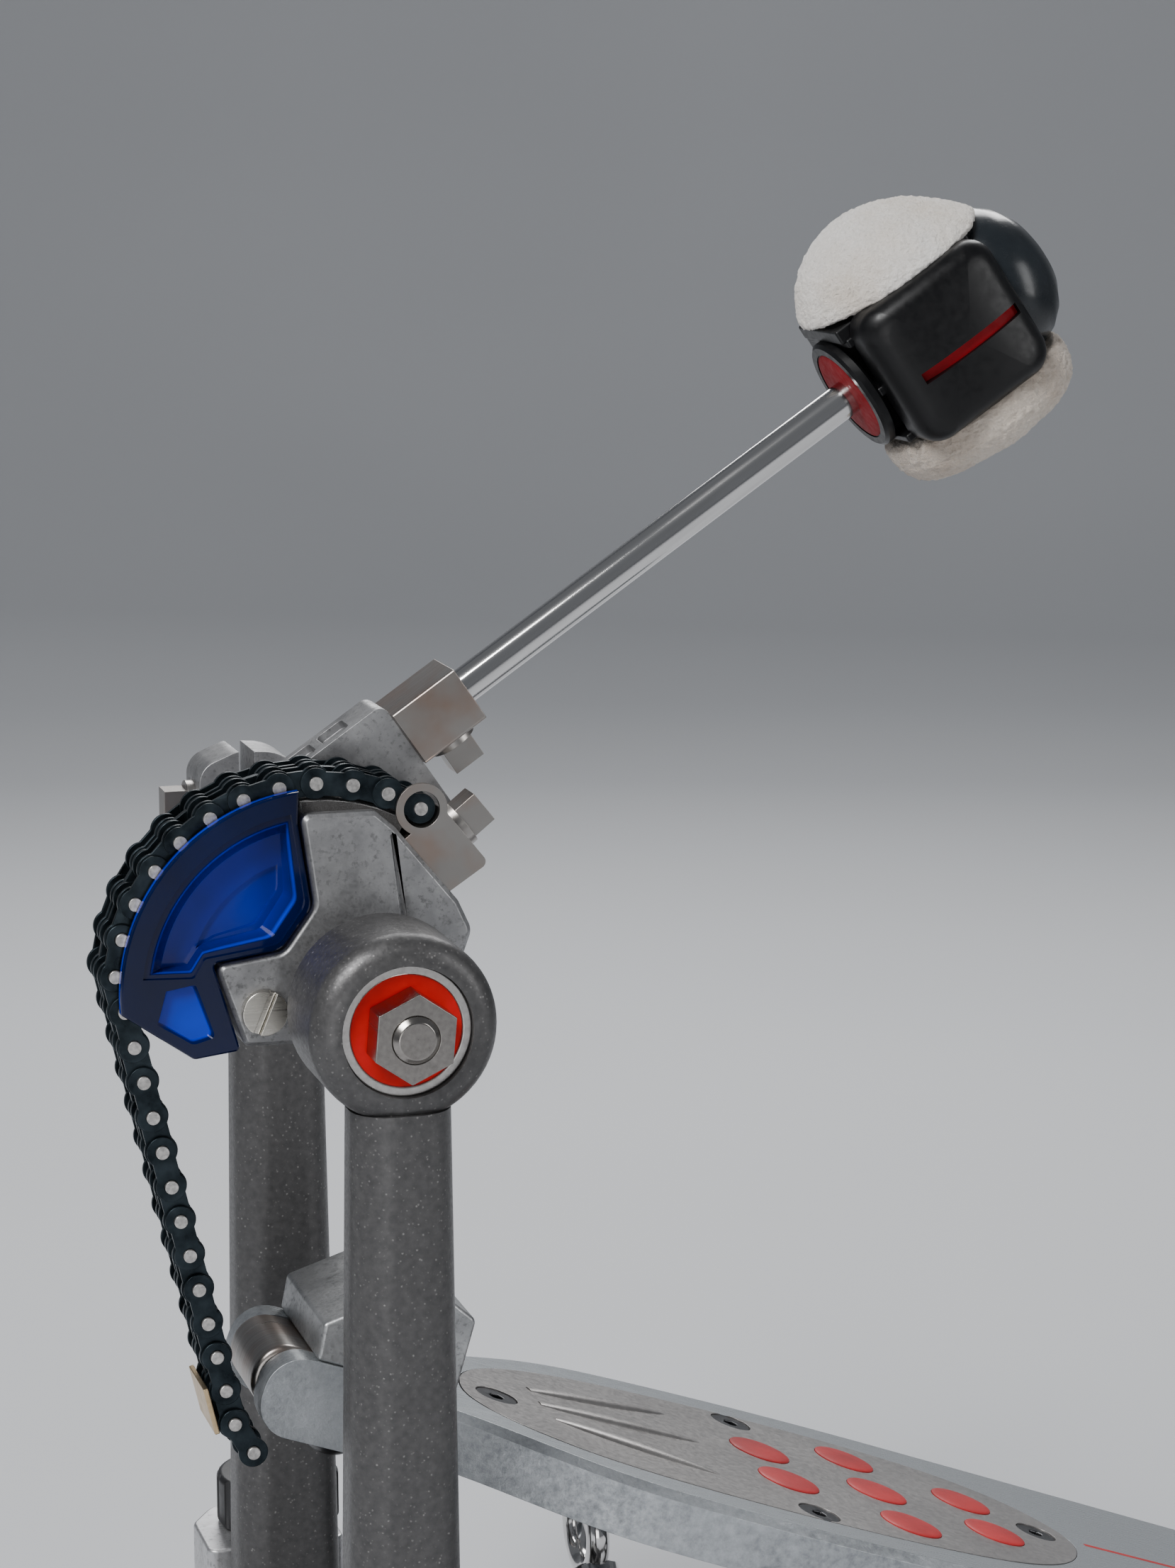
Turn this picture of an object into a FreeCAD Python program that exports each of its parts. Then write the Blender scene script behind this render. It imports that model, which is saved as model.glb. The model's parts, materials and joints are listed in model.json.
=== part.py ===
"""Bass drum pedal: single pedal with a duplex chain drive, modelled in millimetres.

Frame: +Z up, origin on the floor below the middle of the rocker axle. The drum is on the -X side, the
player's heel on the +X side, and the rocker axle runs along Y. "near" pieces are on the -Y side.
"""
import math
import os
import re

import FreeCAD
import Part
from FreeCAD import Matrix, Placement, Rotation, Vector

os.makedirs("parts", exist_ok=True)
doc = FreeCAD.newDocument("BassDrumPedal")

# ---------------------------------------------------------------- driving dimensions
DRIVING = {
    "axle_height": 190.0,        # rocker axle above the floor
    "post_y": 45.0,              # post centre from the middle plane
    "post_front": 52.5,          # outer face of a post's bearing housing, from the middle plane
    "housing_radius": 15.8,
    "housing_length": 19.0,
    "bearing_radius": 11.0,      # 22 x 8 x 7 ball bearing
    "bearing_bore": 4.0,
    "bearing_width": 7.0,
    "bearing_face": 51.25,       # outer side of the bearing, from the middle plane
    "inner_ring_radius": 6.0,
    "outer_ring_inside": 9.3,
    "ball_radius": 1.6,
    "post_root_width": 21.0,
    "post_top_width": 17.0,
    "post_root_depth": 18.0,
    "post_top_depth": 15.0,
    "pad_thick": 3.0,            # rubber under the base plate
    "plate_thick": 5.0,
    "chain_pitch": 6.35,
    "chain_centre": 12.5,        # chain's middle plane, towards -Y
    "chain_pin_radius": 1.155,
    "cam_offset_x": -7.4,        # pitch circle's centre, from the axle
    "cam_offset_z": 0.9,
    "cam_pitch_radius": 34.5,
    "cam_front": 21.5,           # outer face of the cam hub, towards -Y
    "cam_back": 5.2,
    "drop_lean": 13.2,           # free chain's lean from the vertical, degrees
    "shaft_radius": 3.175,       # beater shaft, 6.35 mm
    "shaft_offset": 25.8,        # beater shaft's line from the axle
    "shaft_angle": 34.4,         # beater shaft above the horizontal at rest, degrees
    "head_start": 132.5,         # beater head's flange, along the shaft from the axle
    "head_middle": 151.3,
    "board_slope": 20.0,         # footboard at rest, degrees
    "hinge_x": 232.0,            # footboard's heel hinge
    "hinge_height": 27.0,
    "hinge_pin_radius": 3.0,
    "board_top": 6.0,            # footboard's top face above its hinge axis, square to the board
    "board_thick": 10.5,
    "spring_x": 2.5,             # spring's line, from the axle
    "spring_y": 65.0,
    "rocker_arm": 24.9,          # spring pivot below the axle
    "jaw_pin_x": -8.0,
    "jaw_pin_height": 26.0,
}

sheet = doc.addObject("Spreadsheet::Sheet", "Sizes")
for row, (alias, number) in enumerate(DRIVING.items(), start=1):
    sheet.set(f"A{row}", alias)
    sheet.set(f"B{row}", str(number))
    sheet.setAlias(f"B{row}", alias)
doc.recompute()

ALIAS = re.compile(r"\b(" + "|".join(DRIVING) + r")\b")
parts = {}
counter = {}


def size(alias):
    """A driving dimension as a number."""
    return float(sheet.get(alias))


def unique(kind):
    """A fresh internal name for a helper object."""
    counter[kind] = counter.get(kind, 0) + 1
    return f"{kind}{counter[kind]:03d}"


def bind(obj, prop, value):
    """Set a property to a number, or bind it to the sheet when value is an expression."""
    if isinstance(value, str):
        obj.setExpression(prop, ALIAS.sub(r"Sizes.\1", value))
    else:
        obj.setExpression(prop, str(float(value)))


def keep(node, obj):
    """Register a finished sub-part under its node name."""
    obj.Label = node
    parts[node] = obj
    return obj


def put(obj, x=0, y=0, z=0, rotation=None):
    """Place an object; each coordinate is a number or an expression."""
    if rotation is not None:
        obj.Placement = Placement(Vector(0, 0, 0), rotation)
    for axis, value in zip("xyz", (x, y, z)):
        bind(obj, f"Placement.Base.{axis}", value)
    return obj


ALONG = {
    "Z": Rotation(),
    "X": Rotation(Vector(0, 1, 0), 90),
    "Y": Rotation(Vector(1, 0, 0), -90),
}


# ---------------------------------------------------------------- primitive builders
def cylinder(radius, length, x=0, y=0, z=0, along="Z"):
    obj = doc.addObject("Part::Cylinder", unique("Cylinder"))
    bind(obj, "Radius", radius)
    bind(obj, "Height", length)
    return put(obj, x, y, z, ALONG[along])


def box(length, width, height, x=0, y=0, z=0):
    obj = doc.addObject("Part::Box", unique("Box"))
    bind(obj, "Length", length)
    bind(obj, "Width", width)
    bind(obj, "Height", height)
    return put(obj, x, y, z)


def hexagon(across_flats, length, x=0, y=0, z=0, along="Y"):
    obj = doc.addObject("Part::Prism", unique("Prism"))
    obj.Polygon = 6
    bind(obj, "Circumradius", across_flats / math.sqrt(3))
    bind(obj, "Height", length)
    return put(obj, x, y, z, ALONG[along])


def sphere(radius, x=0, y=0, z=0):
    obj = doc.addObject("Part::Sphere", unique("Sphere"))
    bind(obj, "Radius", radius)
    return put(obj, x, y, z)


def cut(base, *tools):
    result = base
    for tool in tools:
        obj = doc.addObject("Part::Cut", unique("Cut"))
        obj.Base = result
        obj.Tool = tool
        result = obj
    return result


def fuse(*shapes):
    obj = doc.addObject("Part::MultiFuse", unique("Fuse"))
    obj.Shapes = list(shapes)
    obj.Refine = True
    return obj


def group(*objects):
    """Separate solids that share one node."""
    obj = doc.addObject("Part::Compound", unique("Group"))
    obj.Links = list(objects)
    return obj


def edge_numbers(shape, test):
    return [i + 1 for i, edge in enumerate(shape.Edges) if test(edge)]


def soften(base, radius, test, kind="Part::Fillet"):
    """Round or bevel the edges of base for which test is true."""
    doc.recompute()
    obj = doc.addObject(kind, unique("Soft"))
    obj.Base = base
    obj.Edges = [(number, radius, radius) for number in edge_numbers(base.Shape, test)]
    return obj


def along_axis(edge, direction):
    """True for a straight edge that runs in a direction."""
    if not isinstance(edge.Curve, (Part.Line, Part.LineSegment)):
        return False
    tangent = edge.tangentAt(edge.FirstParameter)
    return abs(tangent.dot(direction)) > 0.999


# ---------------------------------------------------------------- sketched bodies
def rounded_path(corners):
    """Lines and tangent arcs through (u, v, radius) corners of a closed outline."""
    count = len(corners)
    points = [Vector(c[0], c[1], 0) for c in corners]
    radii = [c[2] if len(c) > 2 else 0.0 for c in corners]
    starts, ends, middles = [], [], []
    for i in range(count):
        here = points[i]
        back = (points[i - 1] - here).normalize()
        ahead = (points[(i + 1) % count] - here).normalize()
        if radii[i] == 0.0:
            starts.append(here)
            ends.append(here)
            middles.append(None)
            continue
        half = math.acos(max(-1.0, min(1.0, back.dot(ahead)))) / 2
        reach = radii[i] / math.tan(half)
        bisector = (back + ahead).normalize()
        centre = here + bisector * (radii[i] / math.sin(half))
        starts.append(here + back * reach)
        ends.append(here + ahead * reach)
        middles.append(centre - bisector * radii[i])
    edges = []
    for i in range(count):
        if middles[i] is not None:
            edges.append(Part.Arc(starts[i], middles[i], ends[i]))
        tail = starts[(i + 1) % count]
        if ends[i].distanceToPoint(tail) > 1e-6:
            edges.append(Part.LineSegment(ends[i], tail))
    return edges


def smooth_loop(points):
    """A closed spline through points."""
    curve = Part.BSplineCurve()
    curve.interpolate([Vector(u, v, 0) for u, v in points], PeriodicFlag=True)
    return [curve]


def mirror_outline(half):
    """Full outline from the +v half, listed from one end of the u axis to the other."""
    return half + [(c[0], -c[1]) + tuple(c[2:]) for c in reversed(half) if c[1] != 0]


def new_body():
    return doc.addObject("PartDesign::Body", unique("Body"))


def sketch_on(body, plane, level, loops):
    """A sketch on an origin plane of body, raised by level along the plane's normal.

    Each loop is a list of curves, or ("circle", u, v, radius) with radius a number or an expression.
    """
    sketch = body.newObject("Sketcher::SketchObject", unique("Sketch"))
    origin_plane = [f for f in body.Origin.OriginFeatures if f.Role == plane][0]
    sketch.AttachmentSupport = [(origin_plane, "")]
    sketch.MapMode = "FlatFace"
    bind(sketch, "AttachmentOffset.Base.z", level)
    for loop in loops:
        if loop[0] == "circle":
            _, u, v, radius = loop
            start = 5.0 if isinstance(radius, str) else radius
            number = sketch.addGeometry(Part.Circle(Vector(u, v, 0), Vector(0, 0, 1), start))
            import Sketcher
            constraint = sketch.addConstraint(Sketcher.Constraint("Radius", number, start))
            bind(sketch, f"Constraints[{constraint}]", radius)
        else:
            for curve in loop:
                sketch.addGeometry(curve)
    return sketch


def pad(body, sketch, length, reverse=False):
    feature = body.newObject("PartDesign::Pad", unique("Pad"))
    feature.Profile = sketch
    feature.Reversed = reverse
    bind(feature, "Length", length)
    body.Tip = feature
    doc.recompute()
    return feature


def pocket(body, sketch, length, reverse=False):
    doc.recompute()
    before = body.Shape.Volume
    feature = body.newObject("PartDesign::Pocket", unique("Pocket"))
    feature.Profile = sketch
    feature.Reversed = reverse
    bind(feature, "Length", length)
    body.Tip = feature
    doc.recompute()
    if body.Shape.Volume >= before - 1e-6:
        raise RuntimeError(f"{feature.Name} removed nothing")
    return feature


def revolve(body, sketch, axis="V_Axis"):
    feature = body.newObject("PartDesign::Revolution", unique("Revolution"))
    feature.Profile = sketch
    feature.ReferenceAxis = (sketch, [axis])
    feature.Angle = 360
    body.Tip = feature
    doc.recompute()
    return feature


def round_body(body, amount, test, kind="PartDesign::Fillet"):
    """Fillet or chamfer the edges of the body's tip for which test is true."""
    doc.recompute()
    tip = body.Tip
    names = [f"Edge{n}" for n in edge_numbers(tip.Shape, test)]
    feature = body.newObject(kind, unique("Edge"))
    feature.Base = (tip, names)
    if kind == "PartDesign::Fillet":
        feature.Radius = amount
    else:
        feature.Size = amount
    body.Tip = feature
    doc.recompute()
    return feature


def side_prism(corners, front, back, holes=()):
    """A body drawn in the XZ plane that spans front..back along Y (front < back)."""
    body = new_body()
    loops = [rounded_path(corners)] + list(holes)
    sketch = sketch_on(body, "XZ_Plane", f"-({back})", loops)
    pad(body, sketch, f"({back}) - ({front})")
    return body


def floor_prism(corners, low, high, holes=()):
    """A body drawn in the XY plane that spans low..high along Z."""
    body = new_body()
    loops = [rounded_path(corners)] + list(holes)
    sketch = sketch_on(body, "XY_Plane", low, loops)
    pad(body, sketch, f"({high}) - ({low})")
    return body


def turned(profile):
    """A body of revolution about Z; profile corners are (radius, height, rounding)."""
    body = new_body()
    sketch = sketch_on(body, "XZ_Plane", 0, [rounded_path(profile)])
    revolve(body, sketch)
    return body


# ---------------------------------------------------------------- shared places
AXLE = Vector(0, 0, size("axle_height"))
SHAFT_ANGLE = math.radians(size("shaft_angle"))
SHAFT_DIRECTION = Vector(math.cos(SHAFT_ANGLE), 0, math.sin(SHAFT_ANGLE))
DRUM_SIDE = Vector(-math.sin(SHAFT_ANGLE), 0, math.cos(SHAFT_ANGLE))
# Beater frame: local z along the shaft, local x towards the drum, local y towards the near side.
BEATER_TURN = Rotation(DRUM_SIDE, Vector(0, -1, 0), SHAFT_DIRECTION, "ZXY")
BOARD_TURN = Rotation(Vector(0, 1, 0), size("board_slope"))


def move_to(obj, place):
    """Carry an object from a local frame to its place; its bound coordinates become plain numbers."""
    doc.recompute()
    for axis in "xyz":
        obj.setExpression(f"Placement.Base.{axis}", None)
    obj.Placement = place.multiply(obj.Placement)
    return obj


def in_beater(obj):
    """Move an object drawn in the beater's own frame to its place beside the axle."""
    return move_to(obj, Placement(AXLE + DRUM_SIDE * size("shaft_offset"), BEATER_TURN))


def in_board(obj):
    """Move an object drawn in the footboard's own frame (origin on the heel hinge)."""
    return move_to(obj, Placement(Vector(size("hinge_x"), 0, size("hinge_height")), BOARD_TURN))


# ---------------------------------------------------------------- base
BASE_OUTLINE = mirror_outline([
    (-50, 26, 3),
    (-30, 26, 5),
    (-26, 62, 8),
    (30, 62, 16),
    (70, 46, 30),
    (250, 42, 20),
    (300, 42, 6),
])
WINDOW_FRONT = [(84, -26, 10), (84, 26, 10), (140, 26, 10), (140, -26, 10)]
WINDOW_BACK = [(152, -26, 10), (152, 26, 10), (212, 26, 10), (212, -26, 10)]
EAR_PROFILE = [(-20, 7), (-16, 31, 7), (0, 31, 7), (6, 7)]
PLATE_LOW = "pad_thick"
PLATE_TOP = "pad_thick + plate_thick"


def build_base_plate():
    body = floor_prism(BASE_OUTLINE, PLATE_LOW, PLATE_TOP,
                       holes=[rounded_path(WINDOW_FRONT), rounded_path(WINDOW_BACK)])
    for outer, inner in ((-30, -24.5), (24.5, 30)):
        ear = sketch_on(body, "XZ_Plane", -inner if inner > 0 and outer > 0 else -max(outer, inner),
                        [rounded_path(EAR_PROFILE)])
        pad(body, ear, 5.5)
    pin_hole = sketch_on(body, "XZ_Plane", -40, [
        ("circle", size("jaw_pin_x"), size("jaw_pin_height"), 3.0)])
    pocket(body, pin_hole, 80, reverse=True)
    for y in (-57, 57):
        spur_hole = sketch_on(body, "XY_Plane", 0, [("circle", -17.0, y, 3.05)])
        pocket(body, spur_hole, 12, reverse=True)
    keep("base_plate", body)


def build_floor_pads():
    pads = [
        box(44, 96, "pad_thick", -14, -48, 0),
        box(16, 40, "pad_thick", -48, -20, 0),
        box(40, 14, "pad_thick", 222, -38, 0),
        box(40, 14, "pad_thick", 222, 24, 0),
        box(26, 76, "pad_thick", 270, -38, 0),
    ]
    keep("floor_pads", group(*pads))


# ---------------------------------------------------------------- posts and bearings
POST_ROOT = 16.0
POST_SHOULDER = 176.0


FAR_POST_SHIFT = -0.9


def post_section(width, depth, outer):
    """Post section in the XY plane: flat on its outer side at y = outer, round towards the middle."""
    sign = -1 if outer < 0 else 1
    middle = FAR_POST_SHIFT if outer > 0 else 0.0
    inner = outer - sign * depth
    half = width / 2
    corners = [
        (middle - half, outer, 6.5),
        (middle + half, outer, 6.5),
        (middle + half, inner, 6.0),
        (middle - half, inner, 6.0),
    ]
    return rounded_path(corners)


def build_post(node, sign):
    """One cast post: foot, tapered column, bearing housing with its bore and a groove inside."""
    outer = sign * size("post_front")
    body = new_body()
    back = "post_front" if sign > 0 else "-post_front + housing_length"
    housing = sketch_on(body, "XZ_Plane", f"-({back})", [("circle", 0, AXLE.z, "housing_radius")])
    pad(body, housing, "housing_length")
    round_body(body, 4.2, lambda e: isinstance(e.Curve, Part.Circle)
               and abs(e.CenterOfMass.y - outer) < 0.2)
    root = sketch_on(body, "XY_Plane", POST_ROOT,
                     [post_section(size("post_root_width"), size("post_root_depth"), outer)])
    top = sketch_on(body, "XY_Plane", POST_SHOULDER,
                    [post_section(size("post_top_width"), size("post_top_depth"), outer)])
    loft = body.newObject("PartDesign::AdditiveLoft", unique("Loft"))
    loft.Profile = root
    loft.Sections = [top]
    body.Tip = loft
    doc.recompute()
    foot_low, foot_high = (outer - 22, outer + 3) if sign > 0 else (outer - 3, outer + 22)
    foot = sketch_on(body, "XY_Plane", PLATE_TOP, [rounded_path([
        (-16, foot_low, 5), (18, foot_low, 5), (18, foot_high, 5), (-16, foot_high, 5)])])
    pad(body, foot, POST_ROOT - 8.0 + 0.5)
    # bearing seat from the outer side, then the clear hole through the rest of the housing
    seat_level = "-post_front" if sign > 0 else "post_front"
    seat = sketch_on(body, "XZ_Plane", seat_level, [("circle", 0, AXLE.z, "bearing_radius")])
    pocket(body, seat, "post_front - bearing_face + bearing_width", reverse=sign > 0)
    through = sketch_on(body, "XZ_Plane", seat_level, [("circle", 0, AXLE.z, "outer_ring_inside")])
    pocket(body, through, "housing_length + 1", reverse=sign > 0)
    keep(node, body)


def build_bearings():
    outer_rings, inner_rings, shields, balls = [], [], [], []
    for sign in (-1, 1):
        low = "-bearing_face" if sign < 0 else "bearing_face - bearing_width"
        outer_rings.append(cut(
            cylinder("bearing_radius", "bearing_width", 0, low, "axle_height", "Y"),
            cylinder("outer_ring_inside", 20, 0, sign * 48 - 10, "axle_height", "Y")))
        inner_rings.append(cut(
            cylinder("inner_ring_radius", "bearing_width", 0, low, "axle_height", "Y"),
            cylinder("bearing_bore", 20, 0, sign * 48 - 10, "axle_height", "Y")))
        for gap in (0.4, 5.8):
            start = f"-bearing_face + {gap}" if sign < 0 else f"bearing_face - {gap} - 0.8"
            shields.append(cut(
                cylinder("outer_ring_inside", 0.8, 0, start, "axle_height", "Y"),
                cylinder("inner_ring_radius + 0.15", 20, 0, sign * 48 - 10, "axle_height", "Y")))
        pitch = (size("inner_ring_radius") + size("outer_ring_inside")) / 2
        for k in range(9):
            angle = 2 * math.pi * k / 9
            y = sign * (size("bearing_face") - size("bearing_width") / 2)
            balls.append(sphere("ball_radius", pitch * math.cos(angle), y,
                                f"axle_height + {pitch * math.sin(angle):.4f}"))
    keep("bearing_outer_rings", group(*outer_rings))
    keep("bearing_inner_rings", group(*inner_rings))
    keep("bearing_shields", group(*shields))
    keep("bearing_balls", group(*balls))


def build_frame_screws():
    """Four socket-head screws that hold the post feet, and two in the heel plate."""
    screws = []
    for x, y, top in ((14, -36.5, 16.5), (14, 36.5, 16.5), (-12.4, -34.0, 16.5), (-12.4, 34.0, 16.5),
                      (286, -28, 24.5), (286, 28, 24.5)):
        head = cylinder(3.4, 3.0, x, y, top)
        socket = hexagon(3.0, 2.0, x, y, top + 1.4, "Z")
        screws.append(cut(head, socket))
    keep("frame_screws", group(*screws))


# ---------------------------------------------------------------- axle and its fasteners
ROCKER_FRONT = 58.5
ROCKER_BACK = 71.5


def build_axle():
    near_end = -58.4
    far_end = 80.4
    body_round = cylinder("bearing_bore - 0.02", far_end - near_end, 0, near_end, "axle_height", "Y")
    hexagonal = hexagon(10.0, 88.2, 0, -44.1, "axle_height", "Y")
    near_edge = AXLE.z
    axle = soften(fuse(body_round, hexagonal), 0.9,
                  lambda e: isinstance(e.Curve, Part.Circle)
                  and min(abs(e.CenterOfMass.y - near_end), abs(e.CenterOfMass.y - far_end)) < 0.01
                  and near_edge > 0, "Part::Chamfer")
    keep("axle_shaft", axle)
    nuts = []
    for start in (-57.45, ROCKER_BACK):
        blank = hexagon(13.0, 6.2, 0, start, "axle_height", "Y")
        blank.Placement = Placement(blank.Placement.Base,
                                    Rotation(Vector(0, 1, 0), -25).multiply(ALONG["Y"]))
        dome = sphere(8.6, 0, start + 3.1, "axle_height")
        rounded = doc.addObject("Part::Common", unique("Common"))
        rounded.Base = blank
        rounded.Tool = dome
        nuts.append(cut(rounded, cylinder(4.0, 12, 0, start - 3, "axle_height", "Y")))
    keep("axle_nuts", group(*nuts))


# ---------------------------------------------------------------- cam
def from_axle(corners):
    """Corners given from the axle, in the frame's XZ plane."""
    return [(c[0], c[1] + AXLE.z) + tuple(c[2:]) for c in corners]


CAM_HUB_OUTLINE = [
    (-10.4, 30.6, 1.5), (2.6, 30.6, 2.0), (6.0, 27.6, 1.0), (17.0, 14.2, 2.0), (19.4, 9.0, 3.0),
    (14.0, -6.0, 8.0), (2.0, -14.0, 9.0), (-10.5, -8.8, 3.0), (-20.4, -8.6, 1.5), (-25.3, 5.8, 1.5),
    (-13.6, 7.4, 3.0), (-8.2, 15.0, 3.0),
]
INSERT_CORNERS = [
    (-10.9, 29.4), (-8.7, 14.8), (-14.0, 7.9), (-25.7, 6.3), (-21.2, -9.0), (-29.2, -10.0),
]


def cam_arc(radius, start, stop, steps=2):
    """Points on a circle about the cam's pitch centre; angles in degrees."""
    centre = Vector(size("cam_offset_x"), size("cam_offset_z"), 0)
    return [centre + Vector(math.cos(math.radians(a)), math.sin(math.radians(a)), 0) * radius
            for a in (start, (start + stop) / 2, stop)][:steps + 1]


def insert_outline(radius, last_angle, tail):
    """Blue cam insert: an arc of the cam outside, ending at tail, and steps round the hub inside."""
    start, middle, stop = [p + Vector(0, AXLE.z, 0) for p in cam_arc(radius, 95.5, last_angle)]
    corners = [Vector(x, z + AXLE.z, 0) for x, z in [tail] + INSERT_CORNERS[::-1]]
    edges = [Part.Arc(start, middle, stop)]
    chain = [stop] + corners + [start]
    for here, there in zip(chain, chain[1:]):
        edges.append(Part.LineSegment(here, there))
    return edges


def build_cam():
    hub = side_prism(from_axle(CAM_HUB_OUTLINE), "-cam_front", "-cam_back",
                     holes=[("circle", 0, AXLE.z, 5.78)])
    round_body(hub, 0.8, lambda e: abs(e.CenterOfMass.y + size("cam_front")) < 0.01
               and e.CenterOfMass.distanceToPoint(Vector(0, e.CenterOfMass.y, AXLE.z)) > 7,
               "PartDesign::Chamfer")
    parting = sketch_on(hub, "XZ_Plane", "cam_front", [rounded_path(from_axle(
        [(5.1, 26.4), (5.9, 26.4), (7.7, 11.4), (6.9, 11.4)]))])
    pocket(hub, parting, 0.5)
    keep("cam_hub", hub)
    insert = new_body()
    flange = sketch_on(insert, "XZ_Plane", "cam_front + 0.5 - 2.2",
                       [insert_outline(34.0, 184.0, (-38.6, -3.4))])
    pad(insert, flange, 2.2)
    # the core ends short of the flange, where the chain leaves the cam in a straight line
    core = sketch_on(insert, "XZ_Plane", "cam_back", [insert_outline(31.2, 173.0, (-36.3, -3.6))])
    pad(insert, core, "cam_front + 0.5 - 2.2 - cam_back")
    keep("cam_insert", insert)
    head = cylinder(3.9, 1.6, -17.2, "-cam_front - 1.6", "axle_height - 2.6", "Y")
    slot = move_to(box(9, 1.1, 1.1, -4.5, 0, -0.55),
                   Placement(Vector(-17.2, -size("cam_front") - 1.7, AXLE.z - 2.6),
                             Rotation(Vector(0, 1, 0), -67)))
    keep("cam_screw", cut(head, slot))
    felt = new_body()
    arc_out = cam_arc(31.5, 60, 94)
    arc_in = cam_arc(28.6, 94, 60)
    lift = Vector(0, AXLE.z, 0)
    loop = [
        Part.Arc(*[p + lift for p in arc_out]),
        Part.LineSegment(arc_out[2] + lift, arc_in[0] + lift),
        Part.Arc(*[p + lift for p in arc_in]),
        Part.LineSegment(arc_in[2] + lift, arc_out[0] + lift),
    ]
    strip = sketch_on(felt, "XZ_Plane", 6.0, [loop])
    pad(felt, strip, 13.0)
    keep("cam_felt", cut(felt, hub))


# ---------------------------------------------------------------- chain
PINS_ON_CAM = 12
LAST_PIN = 26
PLATE = 0.75
INNER_PLATE_RADIUS = 2.85
OUTER_PLATE_RADIUS = 2.6
ROLLER_RADIUS = 1.65
STRAND = 3.2
INNER_PLATES = ((4.79, 5.54), (0.86, 1.61), (-1.61, -0.86), (-5.54, -4.79))
OUTER_PLATES = ((5.64, 6.39), (-0.76, 0.76), (-6.39, -5.64))


def chain_pins():
    """Pin centres in the XZ plane, from the clamp over the cam and down to the toe."""
    centre = Vector(size("cam_offset_x"), 0, AXLE.z + size("cam_offset_z"))
    radius = size("cam_pitch_radius")
    pitch = size("chain_pitch")
    step = 2 * math.asin(pitch / 2 / radius)
    first = math.radians(57.8)
    pins = []
    for i in range(PINS_ON_CAM):
        angle = first + i * step
        pins.append(centre + Vector(math.cos(angle), 0, math.sin(angle)) * radius)
    lean = math.radians(size("drop_lean"))
    down = Vector(math.sin(lean), 0, -math.cos(lean))
    while len(pins) < LAST_PIN - 1:
        pins.append(pins[-1] + down * pitch)
    under_toe = math.radians(-60.0)
    pins.append(pins[-1] + Vector(math.cos(under_toe), 0, math.sin(under_toe)) * pitch)
    return pins


PINS = chain_pins()


def plate(first, second, radius, span, hole):
    """A figure-of-eight chain plate between two pins, from span[0] to span[1] off the chain's middle."""
    low = -size("chain_centre") + span[0]
    thick = span[1] - span[0]
    lobes = []
    for pin in (first, second):
        lobes.append(Part.makeCylinder(radius, thick, Vector(pin.x, low, pin.z), Vector(0, 1, 0)))
    link = second - first
    across = Vector(-link.z, 0, link.x).normalize()
    waist = radius * 0.78
    corner = first - across * waist
    slab = Part.makePolygon([corner, corner + link, corner + link + across * 2 * waist,
                             corner + across * 2 * waist, corner])
    slab = Part.Face(slab).extrude(Vector(0, thick, 0))
    slab.translate(Vector(0, low, 0))
    body = lobes[0].fuse(lobes[1]).fuse(slab)
    for pin in (first, second):
        body = body.cut(Part.makeCylinder(hole, thick * 3, Vector(pin.x, low - thick, pin.z),
                                          Vector(0, 1, 0)))
    return body.removeSplitter()


def outer_link(i):
    """Three plates and the two pins that they hold."""
    first, second = PINS[i - 1], PINS[i]
    radius = size("chain_pin_radius")
    solids = [plate(first, second, OUTER_PLATE_RADIUS, span, radius) for span in OUTER_PLATES]
    for pin in (first, second):
        solids.append(Part.makeCylinder(radius, 14.0, Vector(pin.x, -size("chain_centre") - 7.0, pin.z),
                                        Vector(0, 1, 0)))
    return solids


def inner_link(i):
    """Two strands, each two plates joined by their bushes and rollers, free to turn on the pins."""
    first, second = PINS[i - 1], PINS[i]
    hole = size("chain_pin_radius") + 0.05
    solids = []
    for outside, inside in ((INNER_PLATES[0], INNER_PLATES[1]), (INNER_PLATES[2], INNER_PLATES[3])):
        strand = plate(first, second, INNER_PLATE_RADIUS, outside, hole)
        strand = strand.fuse(plate(first, second, INNER_PLATE_RADIUS, inside, hole))
        low = -size("chain_centre") + inside[0]
        length = outside[1] - inside[0]
        for pin in (first, second):
            roller = Part.makeCylinder(ROLLER_RADIUS, length, Vector(pin.x, low, pin.z), Vector(0, 1, 0))
            bore = Part.makeCylinder(hole, length * 3, Vector(pin.x, low - length, pin.z),
                                     Vector(0, 1, 0))
            strand = strand.fuse(roller).cut(bore)
        solids.append(strand.removeSplitter())
    return solids


def build_chain_run(node, first_link, last_link):
    """Links first_link..last_link as one node; odd links are outer links."""
    solids = []
    for i in range(first_link, last_link + 1):
        solids += outer_link(i) if i % 2 else inner_link(i)
    obj = doc.addObject("Part::Feature", node)
    obj.Shape = Part.Compound(solids)
    keep(node, obj)


def build_chain():
    build_chain_run("cam_chain", 1, 7)
    for number, link in enumerate((8, 9, 10, 11), start=1):
        build_chain_run(f"chain_link_{number}", link, link)
    build_chain_run("chain_drop", 12, 22)
    build_chain_run("chain_tail", 23, 25)
    lean = math.radians(size("drop_lean"))
    down = Vector(math.sin(lean), 0, -math.cos(lean))
    outside = Vector(-math.cos(lean), 0, -math.sin(lean))
    top = PINS[23] + outside * 2.85 - down * 1.5
    corners = [top, top + outside * 0.9, top + outside * 0.9 + down * 8.6, top + down * 8.6]
    keep("chain_clip", side_prism([(p.x, p.z) for p in corners], -19.0, -6.0))


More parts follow.
